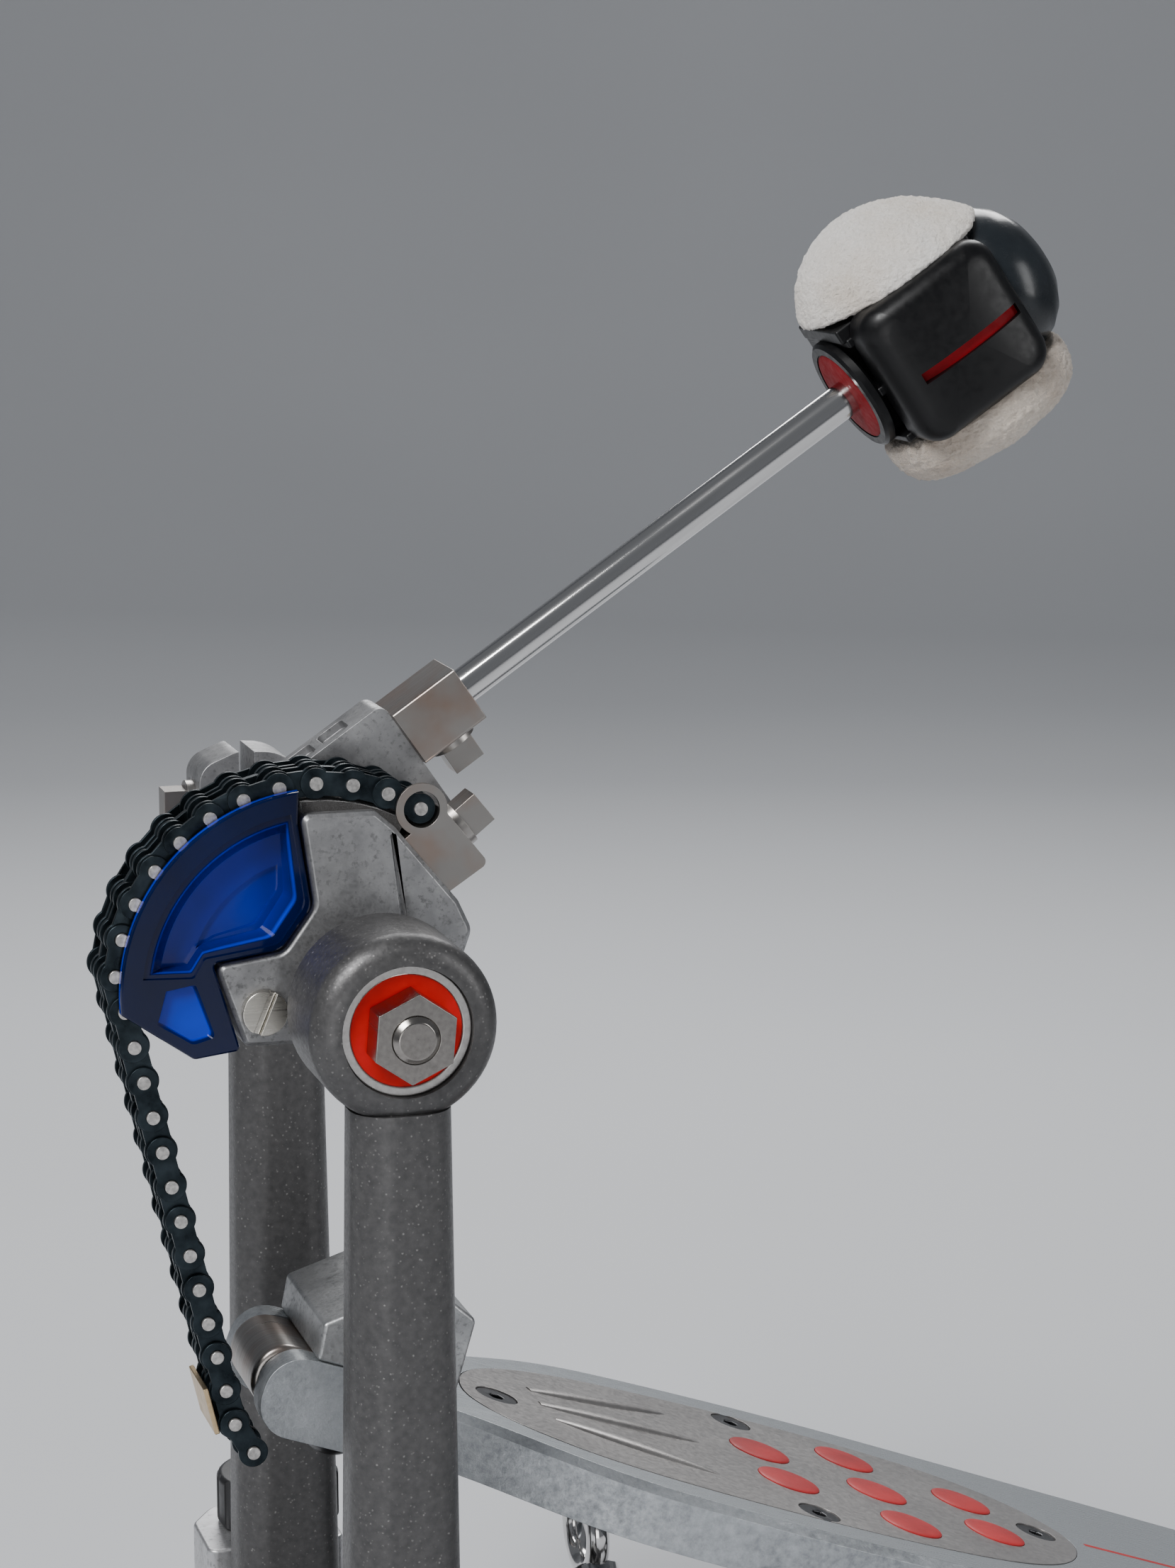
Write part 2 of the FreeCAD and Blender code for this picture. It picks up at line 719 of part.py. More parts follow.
CHAIN_BOLT_OUT = Vector(10.3, 0, 8.3).normalize()
CHAIN_BOLT = AXLE + Vector(18.55, -12.5, 25.35)
ROCKER_BOLT = AXLE + Vector(-11.7, 65.0, 17.0)
SHAFT_BOLT = AXLE + SHAFT_DIRECTION * 39.4 + DRUM_SIDE * (size("shaft_offset") - 5.2)
BOLT_RADIUS = 2.5


def bolt_hole(place, outward, depth):
    """Clear hole for a key bolt that enters at place; outward points back to the bolt's head."""
    hole = cylinder(BOLT_RADIUS + 0.05, depth + 10.0)
    hole.Placement = Placement(place - outward * depth, Rotation(Vector(0, 0, 1), outward))
    for axis in "xyz":
        hole.setExpression(f"Placement.Base.{axis}", None)
    hole.Placement = Placement(place - outward * depth, Rotation(Vector(0, 0, 1), outward))
    return hole


def build_chain_clamp():
    """Block bolted to the hub's sloping face; a round seat in its end holds the first chain pin."""
    corners = from_axle([(8.0, 25.164), (14.4, 30.5, 0.6), (22.7, 20.2, 1.2), (15.8, 15.662)])
    pin = PINS[0]
    body = side_prism(corners, -19.9, -5.1)
    eye = sketch_on(body, "XZ_Plane", 19.1, [("circle", pin.x, pin.z, 4.5)])
    pad(body, eye, 0.8)
    seat = sketch_on(body, "XZ_Plane", 30, [("circle", pin.x, pin.z, 3.15)])
    pocket(body, seat, 40)
    keep("chain_clamp", cut(body, bolt_hole(CHAIN_BOLT, CHAIN_BOLT_OUT, 8.0)))


# ---------------------------------------------------------------- beater holder
def build_beater_holder():
    """Cast arm on the axle that carries the beater shaft beside the axle."""
    body = new_body()
    # local frame: x towards the drum from the shaft line, z along the shaft
    holder_outline = [
        (7.6, 11.0, 3), (7.6, 32.6, 2), (-15.0, 32.6, 3), (-21.0, 33.0, 4), (-24.0, 25.0, 6),
        (-38.5, 3.0, 11), (-28.0, -13.0, 11), (-12.0, -8.0, 6),
    ]
    loops = [rounded_path(holder_outline)]
    sketch = sketch_on(body, "XZ_Plane", -5.0, loops)
    pad(body, sketch, 10.2)
    centre_x = -size("shaft_offset")
    sleeve = sketch_on(body, "XZ_Plane", -5.0, [("circle", centre_x, 0, 12.0)])
    pad(body, sleeve, 17.5)
    bore = sketch_on(body, "XZ_Plane", -20, [("circle", centre_x, 0, 5.78)])
    pocket(body, bore, 60, reverse=True)
    channel = sketch_on(body, "XY_Plane", -30, [("circle", 0, 0, "shaft_radius + 0.06")])
    pocket(body, channel, 80, reverse=True)
    for low in (13.5, 20.5):
        recess = sketch_on(body, "YZ_Plane", 6.2, [rounded_path([
            (-3.2, low, 1.2), (3.2, low, 1.2), (3.2, low + 5.4, 1.2), (-3.2, low + 5.4, 1.2)])])
        pocket(body, recess, 3.0, reverse=True)
    keep("beater_holder", in_beater(body))


def build_shaft_clamp():
    body = new_body()
    outline = sketch_on(body, "XY_Plane", 32.6, [rounded_path([
        (5.4, -6.75, 0.6), (5.4, 6.75, 0.6), (-5.2, 6.75, 0.6), (-5.2, -6.75, 0.6)])])
    pad(body, outline, 13.3)
    bore = sketch_on(body, "XY_Plane", 30, [("circle", 0, 0, "shaft_radius + 0.06")])
    pocket(body, bore, 20, reverse=True)
    stem = sketch_on(body, "YZ_Plane", -5.2, [("circle", 0, 39.4, BOLT_RADIUS + 0.05)])
    pocket(body, stem, 1.7, reverse=True)
    keep("shaft_clamp", in_beater(body))


def key_bolt(place, outward, shank):
    """Square-headed drum key bolt whose collar sits at place; its head points outward."""
    collar = Part.makeCylinder(4.4, 1.6)
    head = Part.makeBox(5.9, 5.9, 4.4, Vector(-2.95, -2.95, 1.6))
    stem = Part.makeCylinder(BOLT_RADIUS, shank, Vector(0, 0, -shank))
    solid = collar.fuse(head).fuse(stem).removeSplitter()
    solid.Placement = Placement(place, Rotation(Vector(0, 0, 1), outward))
    return solid


# ---------------------------------------------------------------- spring rocker on the far side
def build_rocker():
    middle = size("spring_x")
    corners = from_axle([
        (-11.7, 10.0, 5), (-11.7, 24.6, 4.5), (-4.5, 27.6, 6), (5.5, 27.0, 9), (11.5, 17.0, 6),
        (14.0, -2.0, 10), (middle + 7.0, -14.0, 4), (middle + 6.2, -31.0, 6),
        (middle - 6.2, -31.0, 6), (middle - 7.0, -14.0, 4), (-12.5, -2.0, 8),
    ])
    body = side_prism(corners, ROCKER_FRONT, ROCKER_BACK, holes=[("circle", 0, AXLE.z, 3.98)])
    slit = sketch_on(body, "XZ_Plane", -80, [rounded_path(from_axle(
        [(-4.0, 2.0), (-1.2, 2.0), (-1.2, 40.0), (-4.0, 40.0)]))])
    pocket(body, slit, 40, reverse=True)
    # clevis slot for the spring hanger's loop
    clevis = sketch_on(body, "XZ_Plane", "-(spring_y + 3.2)", [rounded_path(from_axle(
        [(-12.0, -15.4), (16.0, -15.4), (16.0, -40.0), (-12.0, -40.0)]))])
    pocket(body, clevis, 6.4, reverse=True)
    pin_hole = sketch_on(body, "XZ_Plane", -80, [
        ("circle", middle, AXLE.z - size("rocker_arm"), 2.5)])
    pocket(body, pin_hole, 40, reverse=True)
    keep("rocker_collar", cut(body, bolt_hole(ROCKER_BOLT, Vector(-1, 0, 0), 9.5)))
    pin = cylinder(2.5, ROCKER_BACK - ROCKER_FRONT + 1.6, "spring_x", ROCKER_FRONT - 0.8,
                   "axle_height - rocker_arm", "Y")
    keep("rocker_pin", pin)


def build_key_bolts():
    """The drum-key bolts of the shaft clamp, chain clamp and spring rocker."""
    solids = [
        key_bolt(SHAFT_BOLT, -DRUM_SIDE, 1.6),
        key_bolt(CHAIN_BOLT, CHAIN_BOLT_OUT, 7.0),
        key_bolt(ROCKER_BOLT, Vector(-1, 0, 0), 9.0),
    ]
    obj = doc.addObject("Part::Feature", "KeyBolts")
    obj.Shape = Part.Compound(solids)
    keep("key_bolts", obj)


# ---------------------------------------------------------------- spring
def build_spring():
    bottom = 94.2
    top = 148.7
    tube = cut(cylinder(6.2, top - bottom, "spring_x", "spring_y", bottom),
               cylinder(4.4, top - bottom + 2, "spring_x", "spring_y", bottom - 1))
    keep("spring", tube)
    # hanger: round wire loop over the rocker pin, stem and a plug inside the spring
    pivot_z = AXLE.z - size("rocker_arm")
    centre_z = pivot_z - 2.2
    x, y = size("spring_x"), size("spring_y")
    loop = Part.makeTorus(6.2, 1.2, Vector(x, y, centre_z), Vector(0, 1, 0))
    stem = Part.makeCylinder(1.0, centre_z - 6.2 - 149.4, Vector(x, y, 149.4))
    cap = Part.makeCylinder(5.8, 1.6, Vector(x, y, 148.7))
    hanger = doc.addObject("Part::Feature", "SpringHanger")
    hanger.Shape = loop.fuse(stem).fuse(cap).removeSplitter()
    keep("spring_hanger", hanger)


def build_spring_foot():
    bracket = floor_prism([
        (-14.0, 52.5, 2), (13.0, 52.5, 2), (13.0, 77.0, 8), (-8.0, 77.0, 8), (-14.0, 68.0, 3)],
        50.0, 62.0, holes=[("circle", size("spring_x"), size("spring_y"), 3.05)])
    keep("spring_bracket", bracket)
    rod = fuse(cylinder(3.0, 50.0, "spring_x", "spring_y", 43.0),
               cylinder(5.8, 1.8, "spring_x", "spring_y", 92.4),
               cylinder(3.0, 4.0, "spring_x", "spring_y", 92.0))
    keep("spring_rod", rod)
    upper = soften(cylinder(12.0, 10.2, "spring_x", "spring_y", 62.3), 1.2,
                   lambda e: isinstance(e.Curve, Part.Circle))
    grips = [cylinder(1.1, 20, f"spring_x + {12.4 * math.cos(k * math.pi / 8):.4f}",
                      f"spring_y + {12.4 * math.sin(k * math.pi / 8):.4f}", 61)
             for k in range(16)]
    upper = cut(upper, cylinder(3.05, 20, "spring_x", "spring_y", 60), *grips)
    lower = cut(hexagon(10.0, 4.5, "spring_x", "spring_y", 45.2, "Z"),
                cylinder(3.05, 20, "spring_x", "spring_y", 40))
    keep("spring_nuts", group(upper, lower))


# ---------------------------------------------------------------- beater
def build_beater():
    shaft = soften(in_beater(cylinder("shaft_radius", 146.0, 0, 0, 16.0)), 0.8,
                   lambda e: isinstance(e.Curve, Part.Circle), "Part::Chamfer")
    keep("beater_shaft", shaft)
    core = turned([(3.25, 133.7), (10.9, 133.7, 0.7), (10.9, 135.2, 0.6), (6.4, 137.4, 1.0),
                   (6.4, 164.4), (3.25, 164.4)])
    block = sketch_on(core, "XY_Plane", 138.0, [rounded_path([
        (-12.7, -9.8, 2), (14.3, -9.8, 2), (14.3, 9.8, 2), (-12.7, 9.8, 2)]),
        ("circle", 0, 0, 3.25)])
    pad(core, block, 26.0)
    keep("beater_core", in_beater(core))
    pads = []
    for side in (-1, 1):
        body = new_body()
        low = 9.8 if side > 0 else -18.6
        # drawn in the XZ plane, whose normal is local -y
        sketch = sketch_on(body, "XZ_Plane", -(low + 8.8), [rounded_path([
            (-12.7, 135.9, 4.2), (14.3, 135.9, 4.2), (14.3, 164.3, 4.2), (-12.7, 164.3, 4.2)])])
        pad(body, sketch, 8.8)
        outer = 18.6 * side
        round_body(body, 2.6, lambda e, outer=outer: abs(e.CenterOfMass.y - outer) < 0.01)
        groove = sketch_on(body, "XZ_Plane", -outer, [rounded_path([
            (-1.4, 140.8, 0.5), (0.6, 140.8, 0.5), (0.6, 162.0, 0.5), (-1.4, 162.0, 0.5)])])
        pocket(body, groove, 1.6, reverse=side > 0)
        pads.append(in_beater(body))
    keep("beater_side_pads", group(*pads))
    strips = []
    for side in (-1, 1):
        start = 17.05 if side > 0 else -18.35
        strips.append(in_beater(box(1.8, 1.3, 20.4, -1.3, start, 141.2)))
    keep("beater_inlays", group(*strips))
    front = turned([(0.0, 14.3), (18.6, 14.3, 1.0), (17.4, 19.5, 5.0), (9.0, 26.0, 8.0), (0.0, 26.9)])
    front.Placement = Placement(Vector(0, 0, size("head_middle")), Rotation(Vector(0, 1, 0), 90))
    keep("beater_front_felt", in_beater(front))
    rear = turned([(0.0, 12.7), (18.4, 12.7, 1.5), (18.4, 21.8, 4.5), (0.0, 21.8)])
    rear.Placement = Placement(Vector(0, 0, size("head_middle") + 1.0), Rotation(Vector(0, 1, 0), -90))
    keep("beater_rear_felt", in_beater(rear))
    cap = turned([(0.0, 164.4), (12.6, 164.4, 0.8), (13.4, 169.4, 2.0), (9.4, 174.6, 5.0), (0.0, 176.2)])
    keep("beater_end_cap", in_beater(put(cap, 0.8, 0, 0)))
    disc = in_beater(cut(cylinder(8.6, 1.1, 0, 0, 132.6), cylinder(3.25, 4, 0, 0, 131)))
    keep("beater_disc", disc)


# ---------------------------------------------------------------- footboard
BOARD_HALF = [
    (-243.0, 15.4), (-232.0, 17.6), (-222.0, 22.0), (-212.0, 27.5), (-200.0, 32.6), (-180.0, 35.8),
    (-150.0, 37.0), (-110.0, 35.0), (-57.0, 31.0), (-24.0, 27.2), (-14.0, 24.7), (-3.0, 24.6),
]
INSERT_HALF = [
    (-216.0, 16.5), (-204.0, 22.8), (-186.0, 26.6), (-160.0, 28.2), (-132.0, 26.6), (-110.0, 20.0),
    (-99.5, 9.5),
]
INSERT_TIP = -225.0
INSERT_TAIL = -96.6
INSERT_SCREWS = ((-218.0, 0.0), (-161.0, 24.2), (-161.0, -24.2), (-104.0, 0.0))
DOTS = ((-161.0, 8.0), (-161.0, -8.0), (-139.0, 17.2), (-139.0, 0.0), (-139.0, -17.2),
        (-117.0, 8.2), (-117.0, -8.2))
DOT_RADIUS = 6.0
ARM_IN = 9.7
ARM_OUT = 15.4


def board_outline(shrink, first, last):
    """Footboard outline as two splines and two straight ends, drawn shrink mm inside its edge."""
    points = [(x, y - shrink) for x, y in BOARD_HALF if first <= x <= last]
    sides = []
    for sign in (1, -1):
        curve = Part.BSplineCurve()
        curve.interpolate([Vector(x, y * sign, 0) for x, y in points])
        sides.append(curve)
    x0, y0 = points[0]
    x1, y1 = points[-1]
    ends = [Part.LineSegment(Vector(x0, y0, 0), Vector(x0, -y0, 0)),
            Part.LineSegment(Vector(x1, y1, 0), Vector(x1, -y1, 0))]
    return sides + ends


def insert_loop(grow):
    half = [(INSERT_TIP - grow, 0.0)] + [(x, y + grow) for x, y in INSERT_HALF]
    half.append((INSERT_TAIL + grow, 0.0))
    return smooth_loop(half + [(x, -y) for x, y in reversed(half[1:-1])])


def build_footboard():
    body = new_body()
    top = size("board_top")
    bottom = top - size("board_thick")
    plan = sketch_on(body, "XY_Plane", "board_top - board_thick", [board_outline(0.0, -300, 0)])
    pad(body, plan, "board_thick")
    round_body(body, 1.5, lambda e: isinstance(e.Curve, Part.BSplineCurve)
               and abs(e.CenterOfMass.z - top) < 0.01, "PartDesign::Chamfer")
    barrel = sketch_on(body, "XZ_Plane", -24.6, [("circle", 0, 0, "board_top")])
    pad(body, barrel, 49.2)
    # fork arms at the toe
    arm = [(-265.2, -6.6, 6.6), (-265.2, 8.0, 6.6), (-241.0, 8.0), (-241.0, 5.9), (-232.0, 5.9),
           (-232.0, bottom), (-238.0, -6.6, 3.0)]
    for front, back in ((-ARM_OUT, -ARM_IN), (ARM_IN, ARM_OUT)):
        side = sketch_on(body, "XZ_Plane", -back, [rounded_path(arm)])
        pad(body, side, back - front)
    well = sketch_on(body, "XY_Plane", top, [insert_loop(0.25)])
    pocket(body, well, 1.6)
    hollow = sketch_on(body, "XY_Plane", bottom, [board_outline(4.0, -223, -19)])
    pocket(body, hollow, 6.4, reverse=True)
    bore = sketch_on(body, "XZ_Plane", -40, [("circle", 0, 0, "hinge_pin_radius + 0.05")])
    pocket(body, bore, 80, reverse=True)
    for x, y in INSERT_SCREWS:
        hole = sketch_on(body, "XY_Plane", top - 1.0, [("circle", x, y, 2.0)])
        pocket(body, hole, 3.0)
    keep("footboard", in_board(body))
    rib_body = new_body()
    ribs = []
    for y in (-14.0, 0.0, 14.0):
        ribs.append(rounded_path([(-212, y - 1.2), (-26, y - 1.2), (-26, y + 1.2), (-212, y + 1.2)]))
    rib_sketch = sketch_on(rib_body, "XY_Plane", bottom + 0.6, ribs)
    pad(rib_body, rib_sketch, 5.8)
    keep("board_ribs", in_board(rib_body))


def build_insert():
    body = new_body()
    top = size("board_top")
    sketch = sketch_on(body, "XY_Plane", top - 1.6, [insert_loop(0.0)])
    pad(body, sketch, 1.7)
    for x, y in INSERT_SCREWS:
        hole = sketch_on(body, "XY_Plane", top + 1.0, [("circle", x, y, 4.05)])
        pocket(body, hole, 4.0)
    for x, y in DOTS:
        hole = sketch_on(body, "XY_Plane", top + 1.0, [("circle", x, y, DOT_RADIUS)])
        pocket(body, hole, 4.0)
    keep("insert_plate", in_board(body))
    dots = []
    for x, y in DOTS:
        dots.append(in_board(cylinder(DOT_RADIUS - 0.02, 2.3, x, y, top - 1.6)))
    keep("grip_dots", group(*dots))
    screws = []
    for x, y in INSERT_SCREWS:
        head = cylinder(4.0, 1.5, x, y, top - 1.6)
        screws.append(in_board(cut(head, hexagon(2.5, 1.4, x, y, top - 1.0, "Z"))))
    keep("insert_screws", group(*screws))


def build_toe():
    yoke = side_prism([(-266.2, -4.2, 5.8), (-266.2, 8.0, 5.8), (-243.0, 8.0), (-243.0, -4.2)],
                      -9.5, 9.5)
    round_body(yoke, 1.2, lambda e: along_axis(e, Vector(1, 0, 0)) and e.CenterOfMass.z > 7.9)
    keep("toe_yoke", in_board(yoke))
    clamp = box(15.8, 17.0, 1.8, -259.0, -8.5, -6.0)
    keep("toe_clamp_plate", in_board(clamp))
    dome = doc.addObject("Part::Common", unique("Common"))
    dome.Base = sphere(6.2, -246.0, 0, -5.6)
    dome.Tool = box(20, 20, 6.2, -256.0, -10, -12.2)
    keep("yoke_screw", in_board(dome))
    stop = side_prism([(-257.6, 8.0), (-258.6, 14.6, 1.0), (-249.0, 22.0, 1.5), (-237.5, 24.2, 1.5),
                       (-232.0, 22.0, 1.5), (-231.0, 6.0), (-241.0, 6.0), (-241.0, 8.0)], -15.0, 15.0)
    keep("toe_stop", in_board(stop))


# ---------------------------------------------------------------- heel plate and hinge
def build_heel():
    profile = [(241.0, 8.0), (241.0, 32.0, 2), (250.0, 33.0, 4), (294.0, 24.5, 3), (299.5, 8.0)]
    body = side_prism(profile, -38.0, 38.0)
    lug = [(222.0, 8.0), (224.6, 27.0, 0), (227.0, 34.4, 5), (238.0, 34.4, 4), (243.0, 31.0),
           (243.0, 8.0)]
    for front, back in ((-34.0, -25.2), (25.2, 34.0)):
        side = sketch_on(body, "XZ_Plane", -back, [rounded_path(lug)])
        pad(body, side, back - front)
    bore = sketch_on(body, "XZ_Plane", -50, [("circle", size("hinge_x"), size("hinge_height"),
                                              "hinge_pin_radius")])
    pocket(body, bore, 100, reverse=True)
    for y in (-28, 28):
        seat = sketch_on(body, "XY_Plane", 40, [("circle", 286, y, 3.6)])
        pocket(body, seat, 15.5)
    keep("heel_plate", body)
    keep("hinge_pin", cylinder("hinge_pin_radius", 68.6, "hinge_x", -34.3, "hinge_height", "Y"))


# ---------------------------------------------------------------- hoop clamp
SCREW_TILT = Vector(0, 0.62, 0.785).normalize()
SCREW_TIP = Vector(62.0, 14.4, 11.2)


def build_hoop_clamp():
    profile = [(-48.0, 25.4, 1), (-48.0, 31.0, 3), (-24.0, 36.0, 6), (-8.0, 36.5, 8), (10.0, 31.0, 6),
               (54.0, 31.0, 3), (54.0, 22.0, 3), (4.0, 20.5, 6), (-8.0, 17.5, 6), (-26.0, 25.4, 2)]
    pin_x = size("jaw_pin_x")
    pin_z = size("jaw_pin_height")
    lever = side_prism(profile, -13.0, 13.0, holes=[("circle", pin_x, pin_z, 3.06)])
    nose = sketch_on(lever, "XZ_Plane", -20.0, [rounded_path([
        (-48.0, 25.4, 1), (-48.0, 31.0, 3), (-26.0, 35.2, 2), (-26.0, 25.4, 2)])])
    pad(lever, nose, 40.0)
    boss = Part.makeCylinder(8.0, 15.0, SCREW_TIP + SCREW_TILT * 16.0, SCREW_TILT)
    bridge = Part.makeBox(22.0, 24.0, 9.0, Vector(46.0, 6.0, 22.0))
    hole = Part.makeCylinder(4.06, 60.0, SCREW_TIP - SCREW_TILT * 10.0, SCREW_TILT)
    doc.recompute()
    jaw = doc.addObject("Part::Feature", "HoopJaw")
    jaw.Shape = lever.Shape.fuse(bridge).fuse(boss).cut(hole).removeSplitter()
    keep("hoop_jaw", jaw)
    keep("jaw_pad", box(18.0, 38.0, 2.4, -47.0, -19.0, 23.0))
    keep("hoop_pad", box(20.0, 40.0, 2.0, -49.0, -20.0, "pad_thick + plate_thick"))
    keep("jaw_pin", cylinder(3.0, 61.0, "jaw_pin_x", -30.5, "jaw_pin_height", "Y"))
    rod = Part.makeCylinder(4.0, 52.0, SCREW_TIP, SCREW_TILT)
    ring_centre = SCREW_TIP + SCREW_TILT * 60.0
    ring = Part.makeTorus(8.2, 2.3, ring_centre, Vector(1, 0, 0))
    collar = Part.makeCylinder(5.0, 5.0, SCREW_TIP + SCREW_TILT * 46.5, SCREW_TILT)
    screw = doc.addObject("Part::Feature", "ClampScrew")
    screw.Shape = rod.fuse(collar).fuse(ring).removeSplitter()
    keep("clamp_screw", screw)


def build_spurs():
    for node, y in (("near_spur", -57.0), ("far_spur", 57.0)):
        body = turned([(0.0, 0.4), (3.0, 5.0), (3.0, 19.0), (6.5, 19.0, 0.8), (6.5, 27.0, 1.2),
                       (0.0, 27.0)])
        keep(node, put(body, -17.0, y, 0))


# ---------------------------------------------------------------- build everything
build_base_plate()
build_floor_pads()
build_post("near_post", -1)
build_post("far_post", 1)
build_bearings()
build_frame_screws()
build_axle()
build_cam()
build_chain()
build_chain_clamp()
build_beater_holder()
build_shaft_clamp()
build_rocker()
build_key_bolts()
build_spring()
build_spring_foot()
build_beater()
build_footboard()
build_insert()
build_toe()
build_heel()
build_hoop_clamp()
build_spurs()
doc.recompute()

# ---------------------------------------------------------------- checks and export
for obj in doc.Objects:
    if "Invalid" in obj.State or "Error" in obj.State:
        raise RuntimeError(f"{obj.Name} ({obj.Label}) failed: {obj.State}")
broken = [node for node, obj in parts.items()
          if obj.Shape.isNull() or not obj.Shape.isValid() or obj.Shape.Volume <= 0]
if broken:
    raise RuntimeError(f"no valid shape: {broken}")
for node, obj in parts.items():
    shape = obj.Shape
    shape.exportStep(f"parts/{node}.step")
    print(f"{node}: {len(shape.Solids)} solid(s), {shape.Volume / 1000:.2f} cm3")
print(len(parts), "nodes")
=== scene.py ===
import json
import math

import bmesh
import bpy
from mathutils import Matrix, Vector, noise

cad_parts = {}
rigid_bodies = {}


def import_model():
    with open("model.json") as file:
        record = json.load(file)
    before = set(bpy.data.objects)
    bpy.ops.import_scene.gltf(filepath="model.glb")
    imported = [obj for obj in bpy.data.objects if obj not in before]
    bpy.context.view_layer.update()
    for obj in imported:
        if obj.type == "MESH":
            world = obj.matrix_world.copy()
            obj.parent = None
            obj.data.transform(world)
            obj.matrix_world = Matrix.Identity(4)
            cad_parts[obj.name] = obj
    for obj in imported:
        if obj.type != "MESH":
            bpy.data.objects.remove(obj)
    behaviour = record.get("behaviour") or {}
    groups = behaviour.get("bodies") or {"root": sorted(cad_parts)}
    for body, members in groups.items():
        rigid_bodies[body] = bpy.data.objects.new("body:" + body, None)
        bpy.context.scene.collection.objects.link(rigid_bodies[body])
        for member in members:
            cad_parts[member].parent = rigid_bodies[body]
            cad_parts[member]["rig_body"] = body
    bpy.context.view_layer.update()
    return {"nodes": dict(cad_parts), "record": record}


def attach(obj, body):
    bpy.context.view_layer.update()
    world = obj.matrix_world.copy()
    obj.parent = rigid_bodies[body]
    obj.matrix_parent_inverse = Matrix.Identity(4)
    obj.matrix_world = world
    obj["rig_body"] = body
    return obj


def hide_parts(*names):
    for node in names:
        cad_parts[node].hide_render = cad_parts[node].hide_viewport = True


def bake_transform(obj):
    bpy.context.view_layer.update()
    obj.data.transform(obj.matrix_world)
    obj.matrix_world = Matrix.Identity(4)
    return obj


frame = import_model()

MM = 0.001
NODES = frame["nodes"]

# ------------------------------------------------------------------ places, in millimetres
AXLE = Vector((0.0, 0.0, 190.0))
SHAFT_ANGLE = math.radians(34.4)
SHAFT = Vector((math.cos(SHAFT_ANGLE), 0.0, math.sin(SHAFT_ANGLE)))
DRUM = Vector((-math.sin(SHAFT_ANGLE), 0.0, math.cos(SHAFT_ANGLE)))
SHAFT_LINE = AXLE + DRUM * 25.8
CAM_CENTRE = Vector((-7.4, 0.0, 190.9))
BOARD_SLOPE = math.radians(20.0)
HINGE = Vector((232.0, 0.0, 27.0))


def frame_matrix(origin, x_axis, y_axis, z_axis):
    """Matrix from a local frame in millimetres to the row frame in metres."""
    m = Matrix.Identity(4)
    for i, axis in enumerate((x_axis, y_axis, z_axis)):
        for k in range(3):
            m[k][i] = axis[k] * MM
    for k in range(3):
        m[k][3] = origin[k] * MM
    return m


ROW = frame_matrix(Vector(), Vector((1, 0, 0)), Vector((0, 1, 0)), Vector((0, 0, 1)))
# beater frame: x towards the drum, y towards the near side, z along the shaft
BEATER = frame_matrix(SHAFT_LINE, DRUM, Vector((0, -1, 0)), SHAFT)
# board frame: x towards the heel, z square to the board
BOARD = frame_matrix(HINGE, Vector((math.cos(BOARD_SLOPE), 0, -math.sin(BOARD_SLOPE))),
                     Vector((0, 1, 0)), Vector((math.sin(BOARD_SLOPE), 0, math.cos(BOARD_SLOPE))))


